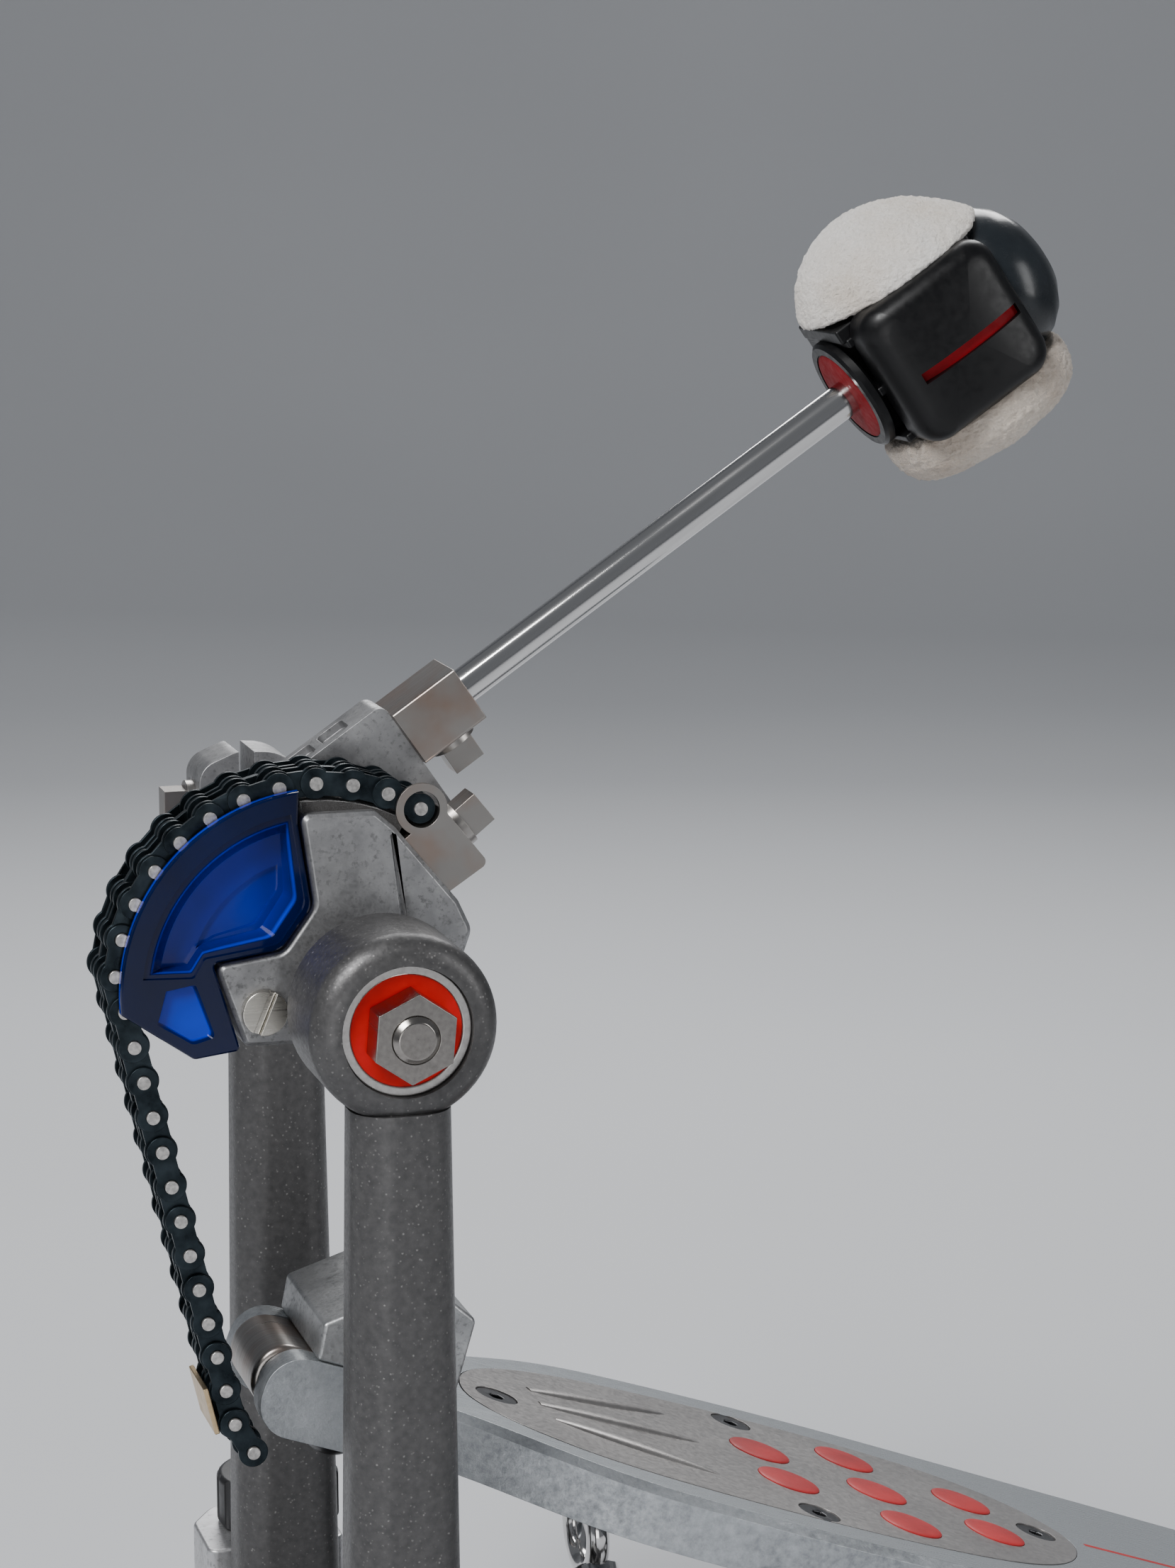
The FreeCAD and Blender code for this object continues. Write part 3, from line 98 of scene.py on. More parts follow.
# ------------------------------------------------------------------ material kit
class Finish:
    """A procedural material built on one Principled shader; textures use object coordinates."""

    def __init__(self, name, color, rough, metallic=0.0, **sockets):
        self.mat = bpy.data.materials.new(name)
        self.mat.use_nodes = True
        self.tree = self.mat.node_tree
        self.shader = self.tree.nodes["Principled BSDF"]
        self.shader.inputs["Base Color"].default_value = (*color, 1.0)
        self.shader.inputs["Roughness"].default_value = rough
        self.shader.inputs["Metallic"].default_value = metallic
        for socket, value in sockets.items():
            self.shader.inputs[socket.replace("_", " ")].default_value = value
        self.coords = self.tree.nodes.new("ShaderNodeTexCoord")
        self.mat.diffuse_color = (*color, 1.0)

    def node(self, kind, **settings):
        made = self.tree.nodes.new(kind)
        for key, value in settings.items():
            setattr(made, key, value)
        return made

    def link(self, output, target):
        self.tree.links.new(output, target)

    def stretched(self, scale):
        mapping = self.node("ShaderNodeMapping")
        mapping.inputs["Scale"].default_value = scale
        self.link(self.coords.outputs["Object"], mapping.inputs["Vector"])
        return mapping.outputs["Vector"]

    def noise(self, scale, detail=4.0, rough=0.55, stretch=(1, 1, 1)):
        tex = self.node("ShaderNodeTexNoise")
        tex.inputs["Scale"].default_value = scale
        tex.inputs["Detail"].default_value = detail
        tex.inputs["Roughness"].default_value = rough
        self.link(self.stretched(stretch), tex.inputs["Vector"])
        return tex.outputs["Fac"]

    def cells(self, scale):
        tex = self.node("ShaderNodeTexVoronoi")
        tex.inputs["Scale"].default_value = scale
        self.link(self.coords.outputs["Object"], tex.inputs["Vector"])
        return tex.outputs["Distance"]

    def ramp(self, fac, *stops):
        """Colour ramp; stops are (position, grey or rgb)."""
        made = self.node("ShaderNodeValToRGB")
        elements = made.color_ramp.elements
        while len(elements) < len(stops):
            elements.new(0.5)
        for element, (position, value) in zip(elements, stops):
            element.position = position
            rgb = value if isinstance(value, tuple) else (value, value, value)
            element.color = (*rgb, 1.0)
        self.link(fac, made.inputs["Fac"])
        return made.outputs["Color"]

    def mix(self, fac, a, b, blend="MIX"):
        made = self.node("ShaderNodeMix", data_type="RGBA", blend_type=blend)
        for socket, value in ((made.inputs[0], fac), (made.inputs[6], a), (made.inputs[7], b)):
            if isinstance(value, bpy.types.NodeSocket):
                self.link(value, socket)
            elif isinstance(value, tuple):
                socket.default_value = (*value, 1.0)
            else:
                socket.default_value = value
        return made.outputs[2]

    def maths(self, operation, a, b=0.0, clamp=False):
        made = self.node("ShaderNodeMath", operation=operation, use_clamp=clamp)
        for socket, value in ((made.inputs[0], a), (made.inputs[1], b)):
            if isinstance(value, bpy.types.NodeSocket):
                self.link(value, socket)
            else:
                socket.default_value = value
        return made.outputs["Value"]

    def axis(self, which, source="Object"):
        """One object-space coordinate, or one part of the object-space normal."""
        split = self.node("ShaderNodeSeparateXYZ")
        self.link(self.coords.outputs[source], split.inputs["Vector"])
        return split.outputs[which]

    def facing(self, direction):
        """How far the surface faces a direction in the object's own frame, -1 to 1."""
        dot = self.node("ShaderNodeVectorMath", operation="DOT_PRODUCT")
        dot.inputs[1].default_value = direction
        self.link(self.coords.outputs["Normal"], dot.inputs[0])
        return dot.outputs["Value"]

    def color(self, output):
        self.link(output, self.shader.inputs["Base Color"])
        return self

    def rough(self, output):
        self.link(output, self.shader.inputs["Roughness"])
        return self

    def bump(self, height, strength, depth_mm):
        made = self.node("ShaderNodeBump")
        made.inputs["Strength"].default_value = strength
        made.inputs["Distance"].default_value = depth_mm * MM
        self.link(height, made.inputs["Height"])
        last = self.shader.inputs["Normal"].links
        if last:
            self.link(last[0].from_socket, made.inputs["Normal"])
        self.link(made.outputs["Normal"], self.shader.inputs["Normal"])
        return self


def speckled_paint():
    f = Finish("speckled_paint", (0.08, 0.078, 0.078), 0.42, 0.55, Specular_IOR_Level=0.5)
    specks = f.ramp(f.cells(1150.0), (0.0, 1.0), (0.16, 0.45), (0.3, 0.0))
    fine = f.noise(1500.0, 3.0)
    sparse = f.maths("MULTIPLY", specks, f.ramp(fine, (0.46, 0.0), (0.66, 1.0)))
    base = f.ramp(f.noise(700.0, 5.0), (0.3, (0.062, 0.061, 0.062)), (0.7, (0.094, 0.092, 0.092)))
    f.color(f.mix(sparse, base, (0.33, 0.32, 0.31)))
    f.rough(f.ramp(fine, (0.3, 0.34), (0.7, 0.5)))
    f.bump(f.noise(900.0, 4.0), 0.5, 0.09)
    return f.mat


def raw_alloy(name, dark, light, rough=0.42, mottle=620.0):
    """Tumbled zinc or aluminium casting: cloudy greys, darker pits, fine grain."""
    f = Finish(name, light, rough, 0.86)
    cloud = f.noise(mottle * 0.22, 5.0, 0.6)
    spots = f.noise(mottle * 1.6, 6.0, 0.65)
    body = f.ramp(cloud, (0.3, dark), (0.68, light))
    pits = f.ramp(spots, (0.34, 1.0), (0.47, 0.0))
    shade = tuple(c * 0.48 for c in dark)
    f.color(f.mix(f.maths("MULTIPLY", pits, 0.62), body, shade))
    f.rough(f.ramp(spots, (0.3, rough + 0.16), (0.7, rough - 0.07)))
    f.bump(f.noise(1700.0, 4.0), 0.35, 0.06)
    f.bump(f.noise(260.0, 3.0), 0.25, 0.12)
    return f.mat


def brushed_steel(name, color, rough, stretch=(60, 1, 60), scale=60.0, tint=None):
    f = Finish(name, color, rough, 1.0)
    lines = f.noise(scale, 3.0, 0.6, stretch)
    dark = tuple(c * 0.72 for c in color)
    body = f.ramp(lines, (0.25, dark), (0.7, color))
    if tint:
        body = f.mix(f.ramp(f.noise(90.0, 3.0), (0.42, 0.0), (0.7, 0.55)), body, tint)
    f.color(body)
    f.rough(f.ramp(lines, (0.2, rough + 0.1), (0.8, rough - 0.05)))
    f.bump(lines, 0.12, 0.03)
    return f.mat


def board_alloy():
    """Cast footboard: brushed flat top rim, bright chamfer, coarse cast sides."""
    f = Finish("board_alloy", (0.5, 0.52, 0.54), 0.4, 0.9)
    up = f.facing((math.sin(BOARD_SLOPE), 0.0, math.cos(BOARD_SLOPE)))
    top = f.ramp(up, (0.9, 0.0), (0.985, 1.0))
    cast = f.noise(650.0, 6.0, 0.7)
    cloud = f.noise(60.0, 4.0, 0.6)
    side = f.ramp(cast, (0.3, (0.22, 0.235, 0.25)), (0.7, (0.46, 0.48, 0.5)))
    side = f.mix(f.ramp(cloud, (0.4, 0.0), (0.7, 0.45)), side, (0.6, 0.63, 0.66))
    lines = f.noise(90.0, 3.0, 0.6, (3, 40, 3))
    rim = f.ramp(lines, (0.3, (0.5, 0.53, 0.55)), (0.7, (0.68, 0.71, 0.73)))
    f.color(f.mix(top, side, rim))
    f.rough(f.mix(top, f.ramp(cast, (0.3, 0.56), (0.7, 0.38)), f.ramp(lines, (0.3, 0.34), (0.7, 0.24))))
    f.bump(f.maths("MULTIPLY", cast, f.maths("SUBTRACT", 1.0, top)), 0.55, 0.22)
    f.bump(lines, 0.06, 0.03)
    return f.mat


def satin_insert():
    f = Finish("satin_insert", (0.33, 0.315, 0.305), 0.33, 0.75)
    cloud = f.noise(40.0, 4.0)
    f.color(f.ramp(cloud, (0.3, (0.28, 0.268, 0.262)), (0.72, (0.37, 0.355, 0.345))))
    f.rough(f.ramp(f.noise(900.0, 3.0), (0.3, 0.3), (0.7, 0.42)))
    f.bump(f.noise(2200.0, 2.0), 0.15, 0.03)
    return f.mat


def black_chain():
    """Black-oxide chain whose pins are bright where they stand out of the plates."""
    f = Finish("black_chain", (0.012, 0.018, 0.022), 0.3, 0.85)
    y = f.axis("Y")
    near = f.maths("LESS_THAN", y, -18.93 * MM)
    far = f.maths("GREATER_THAN", y, -6.07 * MM)
    ends = f.maths("ADD", near, far, clamp=True)
    grime = f.noise(300.0, 5.0)
    oxide = f.ramp(grime, (0.3, (0.006, 0.010, 0.013)), (0.7, (0.03, 0.042, 0.05)))
    bright = f.ramp(f.noise(1400.0, 3.0), (0.3, (0.32, 0.31, 0.3)), (0.7, (0.62, 0.6, 0.58)))
    f.color(f.mix(ends, oxide, bright))
    f.rough(f.mix(ends, f.ramp(grime, (0.3, 0.24), (0.7, 0.42)), (0.32, 0.32, 0.32)))
    f.bump(f.noise(1200.0, 3.0), 0.2, 0.04)
    return f.mat


def felt(name, clean, worn):
    f = Finish(name, clean, 0.95, 0.0, Specular_IOR_Level=0.15, Sheen_Weight=0.6, Sheen_Roughness=0.5)
    patches = f.noise(45.0, 5.0, 0.6)
    fuzz = f.noise(1500.0, 6.0, 0.75)
    body = f.ramp(patches, (0.42, clean), (0.72, worn))
    f.color(f.mix(f.ramp(fuzz, (0.3, 0.35), (0.6, 0.0)), body, tuple(c * 0.72 for c in worn)))
    f.bump(fuzz, 1.0, 0.5)
    f.bump(f.noise(520.0, 5.0, 0.7), 0.9, 0.8)
    return f.mat


def moulded(name, color, rough, grain=2400.0, depth=0.02, **sockets):
    f = Finish(name, color, rough, 0.0, **sockets)
    tone = f.noise(120.0, 4.0)
    f.color(f.ramp(tone, (0.3, tuple(c * 0.8 for c in color)), (0.7, tuple(c * 1.2 for c in color))))
    f.rough(f.ramp(f.noise(grain * 0.3, 4.0), (0.3, rough * 0.85), (0.7, rough * 1.2)))
    f.bump(f.noise(grain, 3.0), 0.2, depth)
    return f.mat


def blue_plastic():
    """Clear blue moulding whose colour follows depth to stand in for light in the clear plastic: painted
    dark at the rim, a painted bright glow on the step, deep blue down in its pocket.
    """
    f = Finish("blue_plastic", (0.0, 0.03, 0.42), 0.12, 0.0, IOR=1.49, Coat_Weight=0.25,
               Coat_Roughness=0.06, Transmission_Weight=0.1, Specular_IOR_Level=0.28)
    depth = f.maths("MULTIPLY", f.maths("ADD", f.axis("Y"), 22.1 * MM), 1 / (5.4 * MM), clamp=True)
    # painted light by depth below the outer face: dark at the rim, a painted bright glow on the step wall
    # in place of light through the clear plastic, then deeper blue in the pocket
    body = f.ramp(depth, (0.0, (0.0, 0.004, 0.032)), (0.15, (0.0, 0.005, 0.055)),
                  (0.26, (0.0, 0.03, 0.55)), (0.4, (0.0, 0.007, 0.13)), (0.8, (0.0, 0.009, 0.19)),
                  (1.0, (0.0, 0.013, 0.26)))
    cloud = f.ramp(f.noise(38.0, 3.0), (0.35, 0.62), (0.65, 1.25))
    f.color(f.mix(1.0, body, cloud, "MULTIPLY"))
    f.rough(f.ramp(f.noise(700.0, 4.0), (0.35, 0.08), (0.7, 0.18)))
    f.bump(f.noise(260.0, 2.0), 0.05, 0.05)
    return f.mat


def powder_coat():
    f = Finish("powder_coat", (0.025, 0.025, 0.027), 0.5, 0.0)
    f.color(f.ramp(f.noise(200.0, 4.0), (0.3, (0.018, 0.018, 0.02)), (0.7, (0.036, 0.036, 0.038))))
    f.rough(f.ramp(f.noise(700.0, 3.0), (0.3, 0.42), (0.7, 0.58)))
    f.bump(f.noise(1300.0, 3.0), 0.4, 0.08)
    return f.mat


LOOKS = {
    "speckled_cast": speckled_paint(),
    "cast_alloy": raw_alloy("cast_alloy", (0.2, 0.2, 0.205), (0.4, 0.4, 0.405)),
    "stop_alloy": raw_alloy("stop_alloy", (0.26, 0.265, 0.27), (0.46, 0.465, 0.47), 0.38),
    "board_alloy": board_alloy(),
    "insert_grey": satin_insert(),
    "chain_black": black_chain(),
    "felt_white": felt("felt_white", (0.9, 0.87, 0.83), (0.76, 0.67, 0.57)),
    "felt_worn": felt("felt_worn", (0.74, 0.66, 0.57), (0.58, 0.46, 0.36)),
    "felt_black": felt("felt_black", (0.02, 0.018, 0.017), (0.035, 0.03, 0.028)),
    "beater_black": moulded("beater_black", (0.003, 0.003, 0.0035), 0.37, Specular_IOR_Level=0.3),
    "beater_grey": moulded("beater_grey", (0.011, 0.014, 0.017), 0.24, Specular_IOR_Level=0.45),
    "inlay_red": moulded("inlay_red", (0.2, 0.002, 0.006), 0.55, Specular_IOR_Level=0.12),
    "shield_red": moulded("shield_red", (0.52, 0.0, 0.0), 0.5, Specular_IOR_Level=0.25),
    "dot_red": moulded("dot_red", (0.4, 0.02, 0.022), 0.5, 900.0, 0.05, Specular_IOR_Level=0.3),
    "cam_blue": blue_plastic(),
    "bearing_steel": brushed_steel("bearing_steel", (0.6, 0.58, 0.56), 0.3, (1, 1, 1), 900.0),
    "axle_steel": brushed_steel("axle_steel", (0.34, 0.32, 0.3), 0.2, (40, 1, 40), 30.0),
    "plated_steel": brushed_steel("plated_steel", (0.4, 0.38, 0.36), 0.3, (1, 30, 1), 60.0,
                                  (0.33, 0.2, 0.14)),
    "bright_screw": brushed_steel("bright_screw", (0.66, 0.63, 0.57), 0.26, (1, 1, 40), 60.0),
    "shaft_chrome": brushed_steel("shaft_chrome", (0.74, 0.73, 0.72), 0.1, (1, 30, 1), 25.0),
    "spring_steel": brushed_steel("spring_steel", (0.5, 0.5, 0.5), 0.28, (1, 1, 1), 600.0),
    "satin_silver": raw_alloy("satin_silver", (0.42, 0.42, 0.43), (0.6, 0.6, 0.61), 0.36),
    "clip_brass": brushed_steel("clip_brass", (0.66, 0.5, 0.3), 0.3, (1, 1, 1), 500.0),
    "frame_black": powder_coat(),
    "floor_rubber": moulded("floor_rubber", (0.012, 0.012, 0.012), 0.7, 900.0, 0.08),
    "black_screws": brushed_steel("black_screws", (0.09, 0.09, 0.095), 0.3, (1, 1, 1), 700.0),
    "nut_black": moulded("nut_black", (0.012, 0.012, 0.013), 0.35),
}


# ------------------------------------------------------------------ mesh kit
def finish_piece(obj, body, slot, stands_for=(), look=None):
    """Give a piece its material slot and let it ride on its body in place of CAD nodes."""
    obj.data.materials.clear()
    obj.data.materials.append(LOOKS[look or slot])
    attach(obj, body)
    if stands_for:
        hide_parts(*stands_for)
    return obj


def from_bmesh(name, bm, place=None, smooth=30.0):
    """Object from a bmesh given in millimetres in a local frame."""
    if place is not None:
        bmesh.ops.transform(bm, matrix=place, verts=bm.verts)
    bmesh.ops.recalc_face_normals(bm, faces=bm.faces)
    limit = math.radians(smooth)
    for edge in bm.edges:
        edge.smooth = len(edge.link_faces) == 2 and edge.calc_face_angle(0.0) < limit
    for face in bm.faces:
        face.smooth = True
    mesh = bpy.data.meshes.new(name)
    bm.to_mesh(mesh)
    bm.free()
    obj = bpy.data.objects.new(name, mesh)
    bpy.context.scene.collection.objects.link(obj)
    return obj


def round_edges(obj, width, segments=3, angle=35.0):
    bevel = obj.modifiers.new("edges", "BEVEL")
    bevel.width = width * MM
    bevel.segments = segments
    bevel.limit_method = "ANGLE"
    bevel.angle_limit = math.radians(angle)
    bevel.harden_normals = True
    bevel.miter_outer = "MITER_ARC"
    return obj


def refine(node, edge):
    """A welded copy of a CAD node with rounded edges, shown in its place."""
    source = NODES[node]
    bm = bmesh.new()
    bm.from_mesh(source.data)
    bmesh.ops.remove_doubles(bm, verts=bm.verts, dist=2e-6)
    bmesh.ops.dissolve_limit(bm, angle_limit=math.radians(0.6), verts=bm.verts, edges=bm.edges)
    obj = from_bmesh("v_" + node, bm, None, 28.0)
    if edge:
        round_edges(obj, edge, 2)
    return finish_piece(obj, source["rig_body"], source["slot_name"], (node,))


def bridge_loops(name, loops, place, closed_ends=True, smooth=30.0):
    """Skin through loops of equal length; the first and last are capped."""
    bm = bmesh.new()
    rings = [[bm.verts.new(p) for p in loop] for loop in loops]
    count = len(rings[0])
    for lower, upper in zip(rings, rings[1:]):
        for i in range(count):
            j = (i + 1) % count
            bm.faces.new((lower[i], lower[j], upper[j], upper[i]))
    if closed_ends:
        bm.faces.new(list(reversed(rings[0])))
        bm.faces.new(rings[-1])
    return from_bmesh(name, bm, place, smooth)


def lathe(name, profile, place, steps=64, smooth=30.0):
    """Turn a (radius, height) profile about local z."""
    loops = []
    for radius, height in profile:
        r = max(radius, 0.01)
        loops.append([(r * math.cos(2 * math.pi * k / steps), r * math.sin(2 * math.pi * k / steps),
                       height) for k in range(steps)])
    return bridge_loops(name, loops, place, True, smooth)


def inset(points, distance):
    """Move a closed 2D outline inwards by distance; corners keep their sharpness."""
    area = sum(a[0] * b[1] - b[0] * a[1] for a, b in zip(points, points[1:] + points[:1]))
    side = 1.0 if area > 0 else -1.0
    count = len(points)
    result = []
    for i in range(count):
        before = Vector(points[i - 1])
        here = Vector(points[i])
        after = Vector(points[(i + 1) % count])
        first = (here - before).normalized()
        second = (after - here).normalized()
        n1 = Vector((-first.y, first.x)) * side
        n2 = Vector((-second.y, second.x)) * side
        middle = n1 + n2
        if middle.length < 1e-6:
            result.append(tuple(here + n1 * distance))
            continue
        middle.normalize()
        reach = distance / max(0.35, middle.dot(n1))
        result.append(tuple(here + middle * reach))
    return result


def arc_points(centre, radius, start, stop, steps):
    return [(centre[0] + radius * math.cos(math.radians(start + (stop - start) * k / steps)),
             centre[1] + radius * math.sin(math.radians(start + (stop - start) * k / steps)))
            for k in range(steps + 1)]


# ------------------------------------------------------------------ carried-over CAD nodes
slot_of = {s["node"]: s["material_slot"] for s in frame["record"]["subparts"]}
for node_name, node_object in NODES.items():
    node_object["slot_name"] = slot_of[node_name]
    node_object.data.materials.clear()
    node_object.data.materials.append(LOOKS[slot_of[node_name]])

# edge radius of each node that gets a refined copy; the posts are rounded in the CAD already
REFINED = {
    "near_post": 0.0, "far_post": 0.0, "base_plate": 0.6, "heel_plate": 1.0, "cam_hub": 0.7,
    "beater_holder": 0.8, "shaft_clamp": 0.5, "chain_clamp": 0.6, "rocker_collar": 0.9,
    "key_bolts": 1.5, "axle_nuts": 0.15, "axle_shaft": 0.25, "toe_yoke": 0.5, "toe_stop": 0.8,
    "footboard": 0.45, "insert_plate": 0.25, "hoop_jaw": 0.7, "spring_bracket": 0.6,
    "cam_screw": 0.2, "chain_clip": 0.2, "frame_screws": 0.3, "bearing_outer_rings": 0.35,
    "bearing_inner_rings": 0.3, "insert_screws": 0.25, "jaw_pad": 0.5, "hoop_pad": 0.4,
    "beater_shaft": 0.3, "spring_nuts": 0.2,
}
CHAIN_EDGE = 0.16
CHAIN_NODES = ("cam_chain", "chain_link_1", "chain_link_2", "chain_link_3", "chain_link_4",
               "chain_drop", "chain_tail")
for node_name, width in REFINED.items():
    refine(node_name, width)
for node_name in CHAIN_NODES:
    refine(node_name, CHAIN_EDGE)


# ------------------------------------------------------------------ cutting tools
def carve(obj, *cutters):
    """Subtract cutters from obj for good."""
    for cutter in cutters:
        boolean = obj.modifiers.new("cut", "BOOLEAN")
        boolean.operation = "DIFFERENCE"
        boolean.solver = "EXACT"
        boolean.object = cutter
    graph = bpy.context.evaluated_depsgraph_get()
    mesh = bpy.data.meshes.new_from_object(obj.evaluated_get(graph))
    obj.modifiers.clear()
    for cutter in cutters:
        bpy.data.objects.remove(cutter)
    bm = bmesh.new()
    bm.from_mesh(mesh)
    bmesh.ops.remove_doubles(bm, verts=bm.verts, dist=4e-6)
    bmesh.ops.triangulate(bm, faces=[f for f in bm.faces if len(f.verts) > 4], ngon_method="EAR_CLIP")
    limit = math.radians(30.0)
    for edge in bm.edges:
        edge.smooth = len(edge.link_faces) == 2 and edge.calc_face_angle(0.0) < limit
    for face in bm.faces:
        face.smooth = True
    bm.to_mesh(mesh)
    bm.free()
    obj.data = mesh
    return obj


def block(name, low, high, place):
    """Plain rectangular cutter or rib between two corners, in a local frame."""
    bm = bmesh.new()
    bmesh.ops.create_cube(bm, size=1.0)
    for v in bm.verts:
        v.co = Vector([low[i] + (v.co[i] + 0.5) * (high[i] - low[i]) for i in range(3)])
    return from_bmesh(name, bm, place, 20.0)


def soft_corners(corners, steps=5):
    """Polyline through (u, v, radius) corners; each rounded corner gives steps + 1 points."""
    points = []
    count = len(corners)
    for i in range(count):
        here = Vector(corners[i][:2])
        radius = corners[i][2] if len(corners[i]) > 2 else 0.0
        back = (Vector(corners[i - 1][:2]) - here).normalized()
        ahead = (Vector(corners[(i + 1) % count][:2]) - here).normalized()
        if radius == 0.0 or i in (0, count - 1):
            points.append(tuple(here))
            continue
        half = back.angle(ahead) / 2
        reach = radius / math.tan(half)
        centre = here + (back + ahead).normalized() * (radius / math.sin(half))
        start = here + back * reach - centre
        turn = start.angle_signed(here + ahead * reach - centre)
        for k in range(steps + 1):
            angle = -turn * k / steps
            points.append((centre.x + start.x * math.cos(angle) - start.y * math.sin(angle),
                           centre.y + start.x * math.sin(angle) + start.y * math.cos(angle)))
    return points


# ------------------------------------------------------------------ blue cam insert
def cam_outline(radius, start, stop, corners):
    """Arc about the cam's centre, then corners given from the axle, as points in the XZ plane."""
    arc = arc_points((CAM_CENTRE.x, CAM_CENTRE.z), radius, start, stop, 40)
    lifted = [(c[0], c[1] + AXLE.z) + tuple(c[2:]) for c in corners]
    path = soft_corners([arc[-1]] + lifted + [arc[0]])
    return arc + path[1:-1]


def at_depth(points, y):
    return [(u, y, v) for u, v in points]


# y of the insert's outer face, and the edge it shares with the hub
FRONT = -22.0
HUB_SIDE = [(-29.2, -10.0, 1.2), (-21.2, -9.0, 0.8), (-25.7, 6.3, 0.8), (-14.0, 7.9, 3.2),
            (-8.7, 14.8, 3.2), (-10.9, 29.2, 0.4)]
core_edge = cam_outline(31.2, 95.5, 173.0, [(-36.3, -3.6, 0.8)] + HUB_SIDE)
flange_edge = cam_outline(34.0, 95.5, 184.0, [(-38.6, -3.4, 0.8)] + HUB_SIDE)
insert = bridge_loops("v_cam_insert", [
    at_depth(core_edge, -5.2),
    at_depth(core_edge, -19.8),
    at_depth(flange_edge, -19.8),
    at_depth(flange_edge, FRONT + 0.45),
    at_depth(inset(flange_edge, 0.12), FRONT + 0.15),
    at_depth(inset(flange_edge, 0.4), FRONT),
], ROW, True, 25.0)
step = cam_outline(30.4, 98.8, 173.5, [(-29.0, 4.0, 0.8), (-27.1, 7.2, 0.8), (-14.5, 8.9, 3.0),
                                       (-9.8, 15.3, 3.0)])
ledge = cam_outline(29.5, 99.8, 172.0, [(-29.3, 4.8, 0.6), (-27.3, 7.9, 0.8), (-15.3, 9.9, 2.6),
                                        (-10.9, 16.1, 2.6)])
floor = cam_outline(26.7, 102.2, 170.8, [(-29.3, 5.5, 0.5), (-27.1, 8.6, 0.8), (-16.7, 10.8, 2.2),
                                         (-12.6, 16.9, 2.2)])
inner = cam_outline(21.6, 106.5, 160.5, [(-24.6, 9.9, 0.6), (-17.6, 11.6, 2.0), (-13.6, 17.4, 2.0)])
box_edge = soft_corners([(-34.0, 192.4), (-28.6, 193.2, 0.6), (-25.3, 183.5, 0.8), (-29.3, 182.4, 1.4),
                         (-35.6, 186.4)])
box_floor = soft_corners([(-33.4, 191.8), (-29.1, 192.5, 0.6), (-26.1, 184.0, 0.8),
                          (-29.5, 183.2, 1.4), (-34.9, 186.8)])
tools = []
for number, (outer, y_outer, deep, y_deep) in enumerate((
        (step, FRONT - 1.0, step, FRONT + 0.6),
        (ledge, FRONT + 0.3, floor, FRONT + 4.6),
        (inner, FRONT + 4.0, inner, FRONT + 5.3),
        (box_edge, FRONT - 0.6, box_floor, FRONT + 1.3))):
    tools.append(bridge_loops("cutter_%d" % number, [at_depth(outer, y_outer), at_depth(deep, y_deep)],
                              ROW, True, 25.0))
carve(insert, *tools)
round_edges(insert, 0.3, 3, 28.0)
finish_piece(insert, "axle", "cam_blue", ("cam_insert",))


# ------------------------------------------------------------------ return spring
END_TURNS = 1.2


def helix(name, radius, wire, low, high, turns, centre, steps=28, sides=10):
    """Coil spring as a swept tube whose end turns lie flat."""
    loops = []
    total = int(turns * steps)
    flat = END_TURNS / turns
    for k in range(total + 1):
        t = k / total
        angle = 2 * math.pi * turns * t
        if t < flat:
            rise = flat * (t / flat) ** 2 / 2
        elif t > 1 - flat:
            rise = 1 - flat * ((1 - t) / flat) ** 2 / 2
        else:
            rise = flat / 2 + (t - flat) * (1 - flat) / (1 - 2 * flat)
        z = low + wire + (high - low - 2 * wire) * rise
        out = Vector((math.cos(angle), math.sin(angle), 0))
        middle = Vector((centre[0], centre[1], z)) + out * radius
        loops.append([tuple(middle + out * (wire * math.cos(2 * math.pi * s / sides))
                            + Vector((0, 0, wire * math.sin(2 * math.pi * s / sides))))
                      for s in range(sides)])
    return bridge_loops(name, loops, ROW, True, 60.0)


spring = helix("v_spring", radius=5.3, wire=0.9, low=94.2, high=148.7, turns=15.0, centre=(2.5, 65.0))
spring.data.materials.append(LOOKS["spring_steel"])
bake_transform(spring)
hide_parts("spring")


# ------------------------------------------------------------------ beater felts
def between(table, x):
    """Value at x of a table of (x, value) pairs, in straight lines between its rows."""
    for (x0, v0), (x1, v1) in zip(table, table[1:]):
        if x <= x1:
            t = (x - x0) / (x1 - x0)
            return v0 + (v1 - v0) * t
    return table[-1][1]


